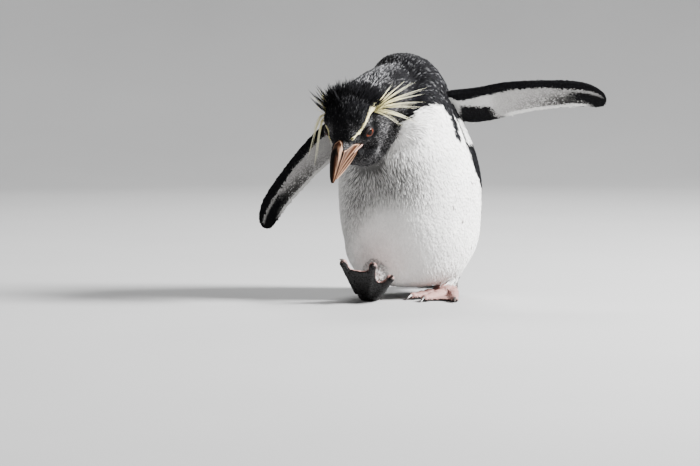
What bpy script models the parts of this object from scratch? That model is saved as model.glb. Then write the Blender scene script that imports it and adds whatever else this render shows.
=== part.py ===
"""Rockhopper penguin, life size, stepping forward with its flippers out and its head bent down.

Lengths are in metres. A place is (side, forward, height): side is towards the bird's left,
forward is the way its trunk faces, and height is above the floor. In the finished part
the bird's left is +X, forward is -Y and up is +Z, with the origin under the middle of the whole.
"""

import math

import bmesh
import bpy
import numpy as np
from mathutils import Matrix, Vector
from mathutils.bvhtree import BVHTree

# Driving dimensions
GAP = 0.0003  # left between two pieces that meet
FLIPPER_LENGTH = 0.173
EYE_RADIUS = 0.0072
EYE_CENTRE = Vector((0.0004, 0.0212, -0.0048))  # in the head's own axes: ahead, left, up
HEAD_PLACE = (-0.035, 0.118, 0.189)  # the point between the eyes
HEAD_PITCH = math.radians(45)  # bill below the horizon
HEAD_YAW = math.radians(9)  # bill towards the bird's right
FOOT_LIFT = math.radians(38)  # how far the right foot's toes are raised
FOOT_ROLL = math.radians(14)  # how far its outer side is raised
TAIL_LENGTH = 0.092

BODY_VOXEL = 0.0022
BODY_TRIANGLES = 2650
FOOT_VOXEL = 0.0010
FOOT_TRIANGLES = 500
TAIL_VOXEL = 0.0008
TAIL_TRIANGLES = 900

# Trunk, as level slices from the belly up: (height, back, front, half width, side)
TRUNK_SLICES = [
    (0.0115, 0.000, 0.022, 0.018, 0.000),
    (0.0200, -0.036, 0.046, 0.044, 0.001),
    (0.0380, -0.064, 0.062, 0.063, 0.001),
    (0.0620, -0.074, 0.076, 0.0735, 0.001),
    (0.0840, -0.075, 0.085, 0.0765, 0.001),
    (0.1060, -0.071, 0.090, 0.0780, 0.002),
    (0.1280, -0.065, 0.093, 0.0780, 0.003),
    (0.1450, -0.059, 0.094, 0.0760, 0.003),
    (0.1600, -0.052, 0.093, 0.0720, 0.004),
    (0.1750, -0.045, 0.090, 0.0660, 0.004),
    (0.1900, -0.037, 0.086, 0.0600, 0.004),
    (0.2050, -0.027, 0.082, 0.0535, 0.004),
    (0.2200, -0.016, 0.076, 0.0480, 0.004),
    (0.2350, -0.005, 0.069, 0.0435, 0.004),
    (0.2475, 0.004, 0.062, 0.0370, 0.003),
    (0.2575, 0.012, 0.054, 0.0290, 0.002),
    (0.2640, 0.020, 0.046, 0.0190, 0.000),
    (0.2675, 0.028, 0.038, 0.0080, -0.001),
]

# Neck, from inside the shoulders to inside the head: (side, forward, height, half width, half height)
NECK_SECTIONS = [
    (-0.001, 0.028, 0.212, 0.030, 0.030),
    (-0.006, 0.052, 0.219, 0.036, 0.037),
    (-0.016, 0.076, 0.215, 0.035, 0.033),
    (-0.027, 0.097, 0.203, 0.032, 0.029),
    (-0.034, 0.112, 0.191, 0.025, 0.025),
]

# Head, in its own axes: (ahead, middle height, half width, rise above the middle, drop below it)
HEAD_SECTIONS = [
    (-0.047, -0.003, 0.010, 0.009, 0.010),
    (-0.042, -0.003, 0.021, 0.018, 0.019),
    (-0.031, -0.002, 0.0285, 0.0260, 0.027),
    (-0.016, -0.002, 0.0295, 0.0290, 0.031),
    (-0.004, -0.002, 0.0250, 0.0275, 0.031),
    (0.004, -0.002, 0.0210, 0.0245, 0.029),
    (0.012, -0.002, 0.0155, 0.0165, 0.0275),
    (0.019, -0.003, 0.0122, 0.0100, 0.0250),
    (0.025, -0.004, 0.0088, 0.0055, 0.0205),
    (0.029, -0.005, 0.0050, 0.0025, 0.0130),
]


# Rounded forms in the head's axes: (centre), (radii)
FACE_MIDDLE = [
    ((-0.017, 0.0, -0.020), (0.029, 0.037, 0.031)),
    ((0.000, 0.0, -0.032), (0.021, 0.028, 0.020)),
]
FACE_SIDES = [
    ((-0.007, 0.0190, 0.0105), (0.0170, 0.0070, 0.0055)),
    ((0.010, 0.0125, 0.0015), (0.0120, 0.0052, 0.0042)),
    ((-0.005, 0.0202, -0.0044), (0.0125, 0.0068, 0.0115)),
    ((0.000, 0.0150, -0.0195), (0.0180, 0.0112, 0.0120)),
]

# Rounded forms of the shoulders and thighs: (side, forward, height), (radii)
FLANKS = [
    ((0.033, 0.028, 0.202), (0.026, 0.028, 0.032)),
    ((-0.032, 0.030, 0.198), (0.026, 0.028, 0.034)),
    ((-0.001, -0.052, 0.052), (0.037, 0.032, 0.030)),
    ((0.038, -0.002, 0.060), (0.031, 0.040, 0.042)),
    ((-0.034, 0.026, 0.062), (0.033, 0.042, 0.044)),
    ((0.003, 0.073, 0.190), (0.045, 0.026, 0.037)),
    ((0.023, 0.056, 0.196), (0.033, 0.031, 0.041)),
]


SIDEWAYS, LENGTHWAYS, UPRIGHT = Vector((1, 0, 0)), Vector((0, 1, 0)), Vector((0, 0, 1))


def place(side, forward, height):
    """The world point of a place on the bird."""
    return Vector((side, -forward, height))


def curve_through(rows, count):
    """Catmull-Rom curve through the rows, read at even steps."""
    p = np.array(rows, float)
    p = np.vstack([2 * p[0] - p[1], p, 2 * p[-1] - p[-2]])
    t = np.linspace(0, len(p) - 3, count)
    i = np.minimum(t.astype(int), len(p) - 4)
    u = (t - i)[:, None]
    a, b, c, d = p[i], p[i + 1], p[i + 2], p[i + 3]
    return 0.5 * (
        2 * b
        + (c - a) * u
        + (2 * a - 5 * b + 4 * c - d) * u**2
        + (3 * b - a - 3 * c + d) * u**3
    )


# Collections and small tools


def clear_scene():
    for obj in list(bpy.data.objects):
        bpy.data.objects.remove(obj)


def new_collection(name, hidden=False):
    made = bpy.data.collections.new(name)
    made.hide_render = hidden
    bpy.context.scene.collection.children.link(made)
    return made


def add_mesh(name, mesh, collection):
    obj = bpy.data.objects.new(name, mesh)
    collection.objects.link(obj)
    return obj


def add_helper(name, mesh, helpers):
    """An object that only shapes others: it is never part of the bird."""
    obj = add_mesh(name, mesh, helpers)
    obj.hide_render = True
    obj.display_type = "WIRE"
    return obj


def mesh_from_bmesh(name, bm):
    bmesh.ops.recalc_face_normals(bm, faces=bm.faces)
    if bm.calc_volume(signed=True) < 0:
        bmesh.ops.reverse_faces(bm, faces=bm.faces)
    mesh = bpy.data.meshes.new(name)
    bm.to_mesh(mesh)
    bm.free()
    return mesh


def evaluated_mesh(obj, name):
    """The object's mesh with its modifiers applied, in world space."""
    bpy.context.view_layer.update()
    graph = bpy.context.evaluated_depsgraph_get()
    mesh = bpy.data.meshes.new_from_object(obj.evaluated_get(graph))
    mesh.name = name
    mesh.transform(obj.matrix_world)
    return mesh


def joined(name, meshes):
    bm = bmesh.new()
    for mesh in meshes:
        bm.from_mesh(mesh)
    return mesh_from_bmesh(name, bm)


# Shapes


def loft(name, rings):
    """A closed skin over rings of points, with a flat cap at each end."""
    bm = bmesh.new()
    layers = [[bm.verts.new(p) for p in ring] for ring in rings]
    count = len(layers[0])
    for low, high in zip(layers, layers[1:]):
        for i in range(count):
            j = (i + 1) % count
            bm.faces.new((low[i], low[j], high[j], high[i]))
    bm.faces.new(layers[0])
    bm.faces.new(layers[-1])
    return mesh_from_bmesh(name, bm)


def egg_ring(centre, side, up, half_width, rise, drop, sides, fullness=2.0):
    """A ring of points that is half_width wide and reaches rise above and drop below its centre."""
    ring = []
    for k in range(sides):
        angle = 2 * math.pi * k / sides
        c, s = math.cos(angle), math.sin(angle)
        c = math.copysign(abs(c) ** (2 / fullness), c)
        s = math.copysign(abs(s) ** (2 / fullness), s)
        ring.append(centre + side * (half_width * c) + up * ((rise if s > 0 else drop) * s))
    return ring


def tube(name, rows, sides=12, count=None, fullness=2.0):
    """A limb through rows of (side, forward, height, half width, half height)."""
    rows = curve_through(rows, count or 2 * len(rows))
    points = [place(*row[:3]) for row in rows]
    rings = []
    for i, (point, row) in enumerate(zip(points, rows)):
        along = points[min(i + 1, len(points) - 1)] - points[max(i - 1, 0)]
        up = SIDEWAYS.cross(along).normalized()
        side = along.cross(up).normalized()
        rings.append(egg_ring(point, side, up, row[3], row[4], row[4], sides, fullness))
    return loft(name, rings)


def ellipsoid(name, centre, radii, turn=Matrix.Identity(3), detail=16):
    bm = bmesh.new()
    bmesh.ops.create_uvsphere(bm, u_segments=detail, v_segments=detail // 2, radius=1.0)
    scale = Matrix.Diagonal(Vector((*radii, 1.0)))
    bmesh.ops.transform(bm, matrix=Matrix.Translation(centre) @ turn.to_4x4() @ scale, verts=bm.verts)
    return mesh_from_bmesh(name, bm)


def blade(name, points, widths, thickness, across, sides=6):
    """A thin pointed feather: a lens section along a bent midrib."""
    rings = []
    for i, (point, width) in enumerate(zip(points, widths)):
        along = (points[min(i + 1, len(points) - 1)] - points[max(i - 1, 0)]).normalized()
        flat = (across - along * across.dot(along)).normalized()
        up = along.cross(flat)
        thick = max(0.0003, min(thickness, width) / 2)
        rings.append(egg_ring(point, flat, up, width / 2, thick, thick, sides))
    return loft(name, rings)


def remeshed(name, meshes, voxel, smoothing, triangles, helpers):
    """Overlapping forms made one skin, smoothed and thinned to about that many triangles."""
    obj = add_helper(name + "_form", joined(name, meshes), helpers)
    remesh = obj.modifiers.new("Remesh", "REMESH")
    remesh.mode = "VOXEL"
    remesh.voxel_size = voxel
    smooth = obj.modifiers.new("Smooth", "SMOOTH")
    smooth.factor = 0.5
    smooth.iterations = smoothing
    dense = evaluated_mesh(obj, name + "_dense")
    faces = 2 * len(dense.polygons)
    thin = add_helper(name + "_thin", dense, helpers)
    decimate = thin.modifiers.new("Decimate", "DECIMATE")
    decimate.ratio = min(1.0, triangles / faces)
    return evaluated_mesh(thin, name)


def swollen(mesh, helpers, by=GAP):
    """A cutter that is larger than the mesh by the gap all round."""
    obj = add_helper(mesh.name + "_swollen", mesh, helpers)
    displace = obj.modifiers.new("Displace", "DISPLACE")
    displace.mid_level = 0.0
    displace.strength = by
    return add_helper(mesh.name + "_cutter", evaluated_mesh(obj, mesh.name + "_cutter"), helpers)


def surface_of(mesh):
    """A tree that rays can be cast against."""
    return BVHTree.FromPolygons([v.co for v in mesh.vertices], [tuple(p.vertices) for p in mesh.polygons])


def combined(mesh, others, operation, helpers):
    """The mesh cut by, or joined to, each of the other objects in turn."""
    obj = add_helper(mesh.name + "_work", mesh, helpers)
    for other in others:
        boolean = obj.modifiers.new("Boolean", "BOOLEAN")
        boolean.operation = operation
        boolean.solver = "EXACT"
        boolean.object = other
    return evaluated_mesh(obj, mesh.name)


def largest_body(mesh, name):
    """The biggest connected part of a mesh, without the crumbs a cut leaves."""
    return bodies_of(mesh, name)[0]


def bodies_of(mesh, name):
    """The connected parts of a mesh, the biggest first."""
    bm = bmesh.new()
    bm.from_mesh(mesh)
    bm.verts.ensure_lookup_table()
    seen, groups = set(), []
    for start in bm.verts:
        if start in seen:
            continue
        group, todo = set(), [start]
        while todo:
            vert = todo.pop()
            if vert in group:
                continue
            group.add(vert)
            todo += [edge.other_vert(vert) for edge in vert.link_edges]
        seen |= group
        groups.append({v.index for v in group})
    bm.free()
    made = []
    for group in sorted(groups, key=len, reverse=True):
        part = bmesh.new()
        part.from_mesh(mesh)
        part.verts.ensure_lookup_table()
        gone = [v for v in part.verts if v.index not in group]
        bmesh.ops.delete(part, geom=gone, context="VERTS")
        made.append(mesh_from_bmesh(name, part))
    return made


def slab(name, centre, normal, half_size, helpers):
    """A thin square cutter that parts two pieces."""
    bm = bmesh.new()
    bmesh.ops.create_cube(bm, size=1.0)
    scale = Matrix.Diagonal(Vector((2 * half_size, 2 * half_size, 1.2 * GAP, 1.0)))
    turn = normal.to_track_quat("Z", "Y").to_matrix().to_4x4()
    bmesh.ops.transform(bm, matrix=Matrix.Translation(centre) @ turn @ scale, verts=bm.verts)
    return add_helper(name, mesh_from_bmesh(name, bm), helpers)


def floor_block(helpers):
    """Everything below the floor, which flattens what stands on it."""
    bm = bmesh.new()
    bmesh.ops.create_cube(bm, size=1.0)
    size, depth = 1.0, 0.2
    scale = Matrix.Diagonal(Vector((size, size, depth, 1.0)))
    bmesh.ops.transform(bm, matrix=Matrix.Translation((0, 0, -depth / 2)) @ scale, verts=bm.verts)
    return add_helper("below_floor", mesh_from_bmesh("below_floor", bm), helpers)


# The head's own axes


def head_axes():
    """(ahead, left, up) of the head in the world."""
    cy, sy = math.cos(HEAD_YAW), math.sin(HEAD_YAW)
    cp, sp = math.cos(HEAD_PITCH), math.sin(HEAD_PITCH)
    ahead = place(-sy * cp, cy * cp, -sp)
    up = place(-sy * sp, cy * sp, cp)
    left = place(cy, sy, 0)
    return ahead, left, up


def on_head(ahead, left, up):
    """The world point of (ahead, left, up) in the head's own axes."""
    a, s, u = head_axes()
    return place(*HEAD_PLACE) + a * ahead + s * left + u * up


# Parts of the bird


def trunk_form():
    rings = []
    for height, back, front, half_width, side in curve_through(TRUNK_SLICES, 52):
        centre = place(side, (back + front) / 2, height)
        half_depth = (front - back) / 2
        rings.append(egg_ring(centre, SIDEWAYS, LENGTHWAYS, half_width, half_depth, half_depth, 64, 2.15))
    return loft("trunk_form", rings)


def neck_form():
    return tube("neck_form", NECK_SECTIONS, sides=24, count=12)


def head_form():
    ahead, left, up = head_axes()
    rings = []
    for x, middle, half_width, rise, drop in curve_through(HEAD_SECTIONS, 18):
        rings.append(egg_ring(on_head(x, 0, middle), left, up, half_width, rise, drop, 24, 2.2))
    return loft("head_form", rings)


def face_forms():
    """Brow ridges, cheeks, and the puffed throat and nape that the head is drawn back into."""
    ahead, left, up = head_axes()
    turn = Matrix((ahead, left, up)).transposed()
    forms = [ellipsoid("face", on_head(*centre), radii, turn, 20) for centre, radii in FACE_MIDDLE]
    for sign in (1, -1):
        for (x, y, z), radii in FACE_SIDES:
            forms.append(ellipsoid("face", on_head(x, sign * y, z), radii, turn))
    return forms


def flank_forms():
    """Shoulders and thighs, under the feathers."""
    return [ellipsoid("flank", place(*centre), radii) for centre, radii in FLANKS]


def body_mesh(helpers):
    forms = [trunk_form(), neck_form(), head_form(), *face_forms(), *flank_forms()]
    return remeshed("body", forms, BODY_VOXEL, 10, BODY_TRIANGLES, helpers)


# Flipper outline along the span: (distance, leading edge, trailing edge, thickness)
FLIPPER_SECTIONS = [
    (-0.016, -0.010, 0.016, 0.018),
    (0.000, -0.0120, 0.0225, 0.0170),
    (0.012, -0.0140, 0.0285, 0.0150),
    (0.024, -0.0158, 0.0313, 0.0130),
    (0.038, -0.0186, 0.0311, 0.0112),
    (0.054, -0.0233, 0.0278, 0.0098),
    (0.072, -0.0261, 0.0216, 0.0086),
    (0.092, -0.0274, 0.0158, 0.0076),
    (0.112, -0.0277, 0.0126, 0.0066),
    (0.130, -0.0275, 0.0097, 0.0058),
    (0.145, -0.0255, 0.0089, 0.0050),
    (0.157, -0.0210, 0.0092, 0.0042),
    (0.166, -0.0150, 0.0094, 0.0034),
    (0.171, -0.0092, 0.0080, 0.0026),
    (0.1735, -0.0030, 0.0040, 0.0016),
]
# Each flipper's root, and the ways its span and its chord run
FLIPPERS = {
    "left": (
        place(0.0486, 0.0310, 0.2165),
        place(0.940, -0.342, -0.006),
        place(-0.185, -0.571, -0.800),
    ),
    "right": (
        place(-0.0534, 0.0323, 0.2124),
        place(-0.602, 0.030, -0.798),
        place(0.450, -0.800, -0.370),
    ),
}
TRAILING_THINNESS = 0.62  # how much thinner the trailing edge is than the leading edge


def flipper_form(which):
    """A paddle with a blunt leading edge and a thin trailing edge."""
    root, span, chord = FLIPPERS[which]
    span = span.normalized()
    chord = (chord - span * chord.dot(span)).normalized()
    normal = span.cross(chord)
    scale = FLIPPER_LENGTH / FLIPPER_SECTIONS[-1][0]
    rings = []
    for distance, lead, trail, thickness in curve_through(FLIPPER_SECTIONS, 22):
        centre = root + span * (distance * scale) + chord * ((lead + trail) / 2)
        ring = []
        for k in range(12):
            angle = 2 * math.pi * k / 12
            c, s = math.cos(angle), math.sin(angle)
            thin = 1 - TRAILING_THINNESS * (c + 1) / 2
            ring.append(centre + chord * (c * (trail - lead) / 2) + normal * (s * thin * thickness / 2))
        rings.append(ring)
    return loft("flipper_" + which, rings)


# Feet, in their own axes: (outward, ahead, up) from the heel.
# Toes: (root outward, angle outward, length)
TOES = {
    "outer": (0.0105, math.radians(20), 0.053),
    "middle": (0.0000, math.radians(-3), 0.056),
    "inner": (-0.0095, math.radians(-19), 0.041),
}
TOE_RADIUS = 0.0056
HEEL_RADIUS = 0.0130
CLAW_LENGTH = 0.014
TOE_ROOT = 0.008
# Each foot's heel, turn, lift, roll and side
FEET = {
    "left": (place(0.040, -0.004, 0.0), math.radians(-3), 0.0, 0.0, 1),
    "right": (place(-0.0270, 0.0735, 0.0005), math.radians(20), FOOT_LIFT, FOOT_ROLL, -1),
}


def toe_point(toe, distance, lift=0.0):
    """A point along a toe, in the foot's own axes."""
    outward, angle, _ = TOES[toe]
    return Vector((outward + math.sin(angle) * distance, TOE_ROOT + math.cos(angle) * distance, lift))


def foot_matrix(which):
    """From the foot's own axes to the world. The right foot mirrors the left one and stands on its heel."""
    heel, turn, lift, roll, sign = FEET[which]
    mirror = Matrix.Diagonal(Vector((sign, 1, 1, 1)))
    face_forward = Matrix.Rotation(math.pi, 4, "Z") @ Matrix.Diagonal(Vector((-1, 1, 1, 1)))
    raise_toes = Matrix.Rotation(-lift, 4, "X")
    raise_outside = Matrix.Rotation(-roll, 4, "Y")
    stand = Matrix.Translation(heel) @ Matrix.Rotation(turn, 4, "Z")
    return stand @ raise_toes @ face_forward @ mirror @ raise_outside


def along_toe(toe, radius, reach):
    """Rows of points for one toe, thicker at its joints, with a level underside."""
    length = TOES[toe][2]
    points = []
    for k in range(9):
        t = k / 8
        size = radius * (1 - 0.32 * t) * (1 + 0.10 * math.cos(t * 3 * 2 * math.pi))
        points.append((toe_point(toe, t * length * reach, size * 0.92), size))
    return points


def foot_form(which, helpers):
    """Pad, three toes and the web between them, drawn as one skin."""
    forms = []
    for toe in TOES:
        rings = []
        points = along_toe(toe, TOE_RADIUS, 1.0)
        direction = (points[-1][0] - points[0][0]).normalized()
        side = direction.cross(UPRIGHT).normalized()
        for point, size in points:
            rings.append(egg_ring(point, side, UPRIGHT, size, size, size, 12))
        forms.append(loft("toe", rings))
        forms.append(ellipsoid("toe_tip", points[-1][0], (points[-1][1] * 1.05,) * 3))
    forms.append(ellipsoid("heel", Vector((0.0, 0.003, 0.0085)), (HEEL_RADIUS, 0.0140, 0.0095)))
    forms.append(ellipsoid("ankle", Vector((0.0, -0.002, 0.016)), (0.0085, 0.0085, 0.011)))
    forms += [web_form("outer", "middle"), web_form("inner", "middle")]
    forms.append(ellipsoid("hind_toe", Vector((-0.008, 0.002, 0.0060)), (0.006, 0.0030, 0.0028)))
    mesh = remeshed("foot_" + which, forms, FOOT_VOXEL, 3, FOOT_TRIANGLES, helpers)
    mesh.transform(foot_matrix(which))
    if FEET[which][-1] > 0:
        mesh.flip_normals()
    return mesh


WEB_THICKNESS = 0.0022
# How far the hollow edge of each web comes, as a share of the toes' length
WEB_REACH = {"outer": 0.88, "inner": 0.70}


def web_form(first, second):
    """A sheet between two toes whose front edge is a hollow curve."""
    bm = bmesh.new()
    rows, columns = 8, 8
    reach = {first: TOES[first][2] * 0.94, second: TOES[second][2] * 0.90}
    layers = []
    for z in (0.0012, 0.0012 + WEB_THICKNESS):
        grid = []
        for i in range(rows + 1):
            line = []
            for j in range(columns + 1):
                u, t = j / columns, i / rows
                scoop = 1 - (1 - WEB_REACH[first]) * math.sin(math.pi * u) ** 0.9
                a = toe_point(first, reach[first] * t * scoop)
                b = toe_point(second, reach[second] * t * scoop)
                line.append(bm.verts.new(a.lerp(b, u) + Vector((0, 0, z))))
            grid.append(line)
        layers.append(grid)
    low, high = layers
    for i in range(rows):
        for j in range(columns):
            for g in (low, high):
                bm.faces.new((g[i][j], g[i][j + 1], g[i + 1][j + 1], g[i + 1][j]))
    rim = [(0, j) for j in range(columns)] + [(i, columns) for i in range(rows)]
    rim += [(rows, j) for j in range(columns, 0, -1)] + [(i, 0) for i in range(rows, 0, -1)]
    for (i, j), (k, m) in zip(rim, rim[1:] + rim[:1]):
        bm.faces.new((low[i][j], low[k][m], high[k][m], high[i][j]))
    return mesh_from_bmesh("web", bm)


def claw_form(which, toe):
    """A curved, pointed claw on the end of a toe."""
    _, angle, length = TOES[toe]
    ahead = Vector((math.sin(angle), math.cos(angle), 0))
    start = toe_point(toe, length - 0.003, 0.0042)
    points, widths = [], []
    for k in range(7):
        t = k / 6
        drop = -0.0032 * t * t + 0.0012 * math.sin(math.pi * t)
        points.append(start + ahead * (CLAW_LENGTH * t) + Vector((0, 0, drop)))
        widths.append(0.0046 * (1 - t) ** 0.8 + 0.0009)
    side = ahead.cross(UPRIGHT)
    rings = [egg_ring(p, side, UPRIGHT, w / 2, w * 0.55, w * 0.42, 6) for p, w in zip(points, widths)]
    mesh = loft(f"claw_{which}_{toe}", rings)
    mesh.transform(foot_matrix(which))
    if FEET[which][-1] > 0:
        mesh.flip_normals()
    return mesh


# Feathered lower legs: (side, forward, height, half width, half height)
LEGS = {
    "left": [
        (0.036, -0.016, 0.070, 0.026, 0.026),
        (0.038, -0.012, 0.045, 0.023, 0.023),
        (0.039, -0.008, 0.028, 0.017, 0.018),
        (0.040, -0.006, 0.018, 0.0125, 0.0135),
        (0.040, -0.005, 0.014, 0.0100, 0.0110),
    ],
    "right": [
        (-0.022, 0.018, 0.066, 0.026, 0.024),
        (-0.023, 0.040, 0.046, 0.023, 0.021),
        (-0.023, 0.055, 0.033, 0.017, 0.016),
        (-0.023, 0.063, 0.026, 0.0125, 0.0120),
        (-0.023, 0.067, 0.0225, 0.0100, 0.0100),
    ],
}


def leg_form(which):
    return tube("leg_" + which, LEGS[which], sides=14, count=8)


# Bill, in the head's axes, from its base to its tip:
# (ahead, ridge height, cutting edge height, keel height, half width at the cutting edge)
BILL_SECTIONS = [
    (0.0080, 0.0005, -0.0172, -0.0235, 0.0138),
    (0.0150, 0.0020, -0.0160, -0.0248, 0.0130),
    (0.0220, 0.0026, -0.0146, -0.0252, 0.0118),
    (0.0300, 0.0024, -0.0132, -0.0250, 0.0104),
    (0.0380, 0.0010, -0.0124, -0.0241, 0.0088),
    (0.0460, -0.0016, -0.0122, -0.0226, 0.0071),
    (0.0530, -0.0055, -0.0130, -0.0206, 0.0054),
    (0.0590, -0.0096, -0.0144, -0.0184, 0.0038),
    (0.0630, -0.0128, -0.0160, -0.0172, 0.0024),
    (0.0652, -0.0150, -0.0168, -0.0172, 0.0012),
]
LOWER_BILL_END = 0.0590


def upper_bill_form():
    """An arched, hooked upper mandible with a rounded ridge."""
    ahead, left, up = head_axes()
    rings = []
    for x, ridge, edge, _, half_width in curve_through(BILL_SECTIONS, 14):
        ring = []
        height = ridge - edge
        for k in range(14):
            angle = math.pi * k / 10
            if k <= 10:
                y = half_width * math.copysign(abs(math.cos(angle)) ** 0.85, math.cos(angle))
                z = edge + height * math.sin(angle) ** 0.95
            else:
                y = half_width * (-1 + 2 * (k - 10) / 4) * 0.96
                z = edge + GAP / 2
            ring.append(on_head(x, y, max(z, edge + GAP / 2)))
        rings.append(ring)
    return loft("bill_upper", rings)


def lower_bill_form():
    """The lower mandible, a trough closed against the upper one."""
    rings = []
    for x, _, edge, keel, half_width in curve_through(BILL_SECTIONS, 14):
        if x > LOWER_BILL_END:
            break
        ring = []
        depth = edge - keel
        for k in range(14):
            angle = math.pi * k / 10
            if k <= 10:
                y = half_width * 0.94 * math.copysign(abs(math.cos(angle)) ** 0.8, math.cos(angle))
                z = edge - GAP / 2 - max(depth, 0.0016) * math.sin(angle)
            else:
                y = half_width * (-1 + 2 * (k - 10) / 4) * 0.90
                z = edge - GAP / 2
            ring.append(on_head(x, y, z))
        rings.append(ring)
    return loft("bill_lower", rings)


def eye_form(sign):
    centre = on_head(EYE_CENTRE.x, sign * EYE_CENTRE.y, EYE_CENTRE.z)
    return ellipsoid("eye", centre, (EYE_RADIUS,) * 3, detail=14)


# Crest plumes, in the head's axes: where they grow, then (back, outward, up, droop, width) of each
CREST_ROOT = {"left": (-0.0260, 0.0100), "right": (-0.0220, 0.0100)}
CREST_PLUMES = {
    "left": [
        (0.035, 0.017, 0.0060, 0.000, 0.0026),
        (0.033, 0.023, 0.0020, 0.000, 0.0028),
        (0.032, 0.028, -0.0030, 0.001, 0.0030),
        (0.034, 0.035, -0.0070, 0.001, 0.0028),
        (0.027, 0.036, -0.0090, 0.002, 0.0026),
        (0.020, 0.037, -0.0120, 0.003, 0.0026),
        (0.013, 0.037, -0.0140, 0.005, 0.0026),
        (0.006, 0.038, -0.0150, 0.007, 0.0028),
    ],
    "right": [
        (0.032, 0.018, -0.0010, 0.000, 0.0026),
        (0.031, 0.024, -0.0030, 0.000, 0.0028),
        (0.029, 0.028, -0.0070, 0.001, 0.0028),
        (0.026, 0.031, -0.0110, 0.001, 0.0028),
        (0.016, 0.024, -0.0100, 0.003, 0.0026),
        (0.006, 0.024, -0.0100, 0.014, 0.0026),
        (0.000, 0.022, -0.0080, 0.028, 0.0028),
        (-0.002, 0.016, -0.0060, 0.036, 0.0026),
    ],
}


def crest_forms(which, sign, body):
    """A low ridge behind the brow with the plumes fanned out of it."""
    ahead, left, up = head_axes()
    back, height = CREST_ROOT[which]
    outside = on_head(back, sign * 0.08, height)
    root, _, _, _ = surface_of(body).ray_cast(outside, -left * sign)
    root = root + left * (sign * 0.0012)
    turn = Matrix((ahead, left, up)).transposed()
    forms = [ellipsoid("crest_root", root, (0.0120, 0.0040, 0.0036), turn, 10)]
    for back, out, rise, droop, width in CREST_PLUMES[which]:
        reach = -ahead * back + left * (sign * out) + up * rise
        points, widths = [], []
        for k in range(5):
            t = k / 4
            points.append(root + reach * t - UPRIGHT * (droop * t * t))
            widths.append(width * (0.75 + 0.9 * t - 1.45 * t * t) + 0.0002)
        forms.append(blade("plume", points, widths, 0.0012, up.cross(reach), 4))
    return forms


# Tail feathers spread from one root, and the tips lie on the floor
TAIL_ROOT = (-0.001, -0.066, 0.046)
TAIL_FEATHERS = 11
TAIL_SPREAD = math.radians(19)


def tail_forms():
    root = place(*TAIL_ROOT)
    forms = []
    for k in range(TAIL_FEATHERS):
        share = 2 * k / (TAIL_FEATHERS - 1) - 1
        yaw = share * TAIL_SPREAD
        length = TAIL_LENGTH * (1 - 0.20 * share * share)
        rise = 0.0016 * (k % 2) + 0.0050 * (1 - share * share)
        drop = TAIL_ROOT[2] - 0.0012
        level = math.sqrt(length**2 - drop**2)
        tip = place(TAIL_ROOT[0] + level * math.sin(yaw), TAIL_ROOT[1] - level * math.cos(yaw), 0.0010)
        points, widths = [], []
        for i in range(11):
            t = i / 10
            bow = rise * math.sin(math.pi * t) + 0.005 * math.sin(math.pi * t)
            points.append(root.lerp(tip, t) + Vector((share * 0.008 * (1 - t), 0, bow)))
            widths.append(0.0115 * min(1.0, 0.55 + t) * min(1.0, (1.06 - t) * 4.5) + 0.0006)
        across = Vector((math.cos(yaw), math.sin(yaw), 0))
        forms.append(blade("tail_feather", points, widths, 0.0030, across, 8))
    cone = [
        (-0.001, -0.046, 0.058, 0.034, 0.026),
        (-0.001, -0.066, 0.045, 0.028, 0.018),
        (-0.001, -0.082, 0.035, 0.021, 0.011),
        (-0.001, -0.094, 0.028, 0.013, 0.0055),
    ]
    forms.append(tube("tail_base", cone, sides=14, count=7))
    return forms


def united(name, forms, helpers):
    """Overlapping forms joined into one body by Boolean unions."""
    others = [add_helper(f"{name}_{i}", mesh, helpers) for i, mesh in enumerate(forms[1:])]
    mesh = combined(forms[0], others, "UNION", helpers)
    mesh.name = name
    return mesh


def shade(mesh):
    mesh.shade_smooth()
    mesh.set_sharp_from_angle(angle=math.radians(50))


MATERIALS = {
    "black_feathers": ((0.020, 0.020, 0.023), 0.62),
    "white_feathers": ((0.80, 0.79, 0.76), 0.75),
    "bill_horn": ((0.42, 0.16, 0.08), 0.35),
    "crest_feathers": ((0.88, 0.76, 0.30), 0.60),
    "eye": ((0.30, 0.05, 0.03), 0.08),
    "foot_skin": ((0.35, 0.22, 0.20), 0.60),
    "claw_horn": ((0.05, 0.04, 0.04), 0.40),
}


def material(name):
    found = bpy.data.materials.get(name)
    if found:
        return found
    colour, roughness = MATERIALS[name]
    made = bpy.data.materials.new(name)
    made.use_nodes = True
    shader = made.node_tree.nodes["Principled BSDF"]
    shader.inputs["Base Color"].default_value = (*colour, 1.0)
    shader.inputs["Roughness"].default_value = roughness
    return made


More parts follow.
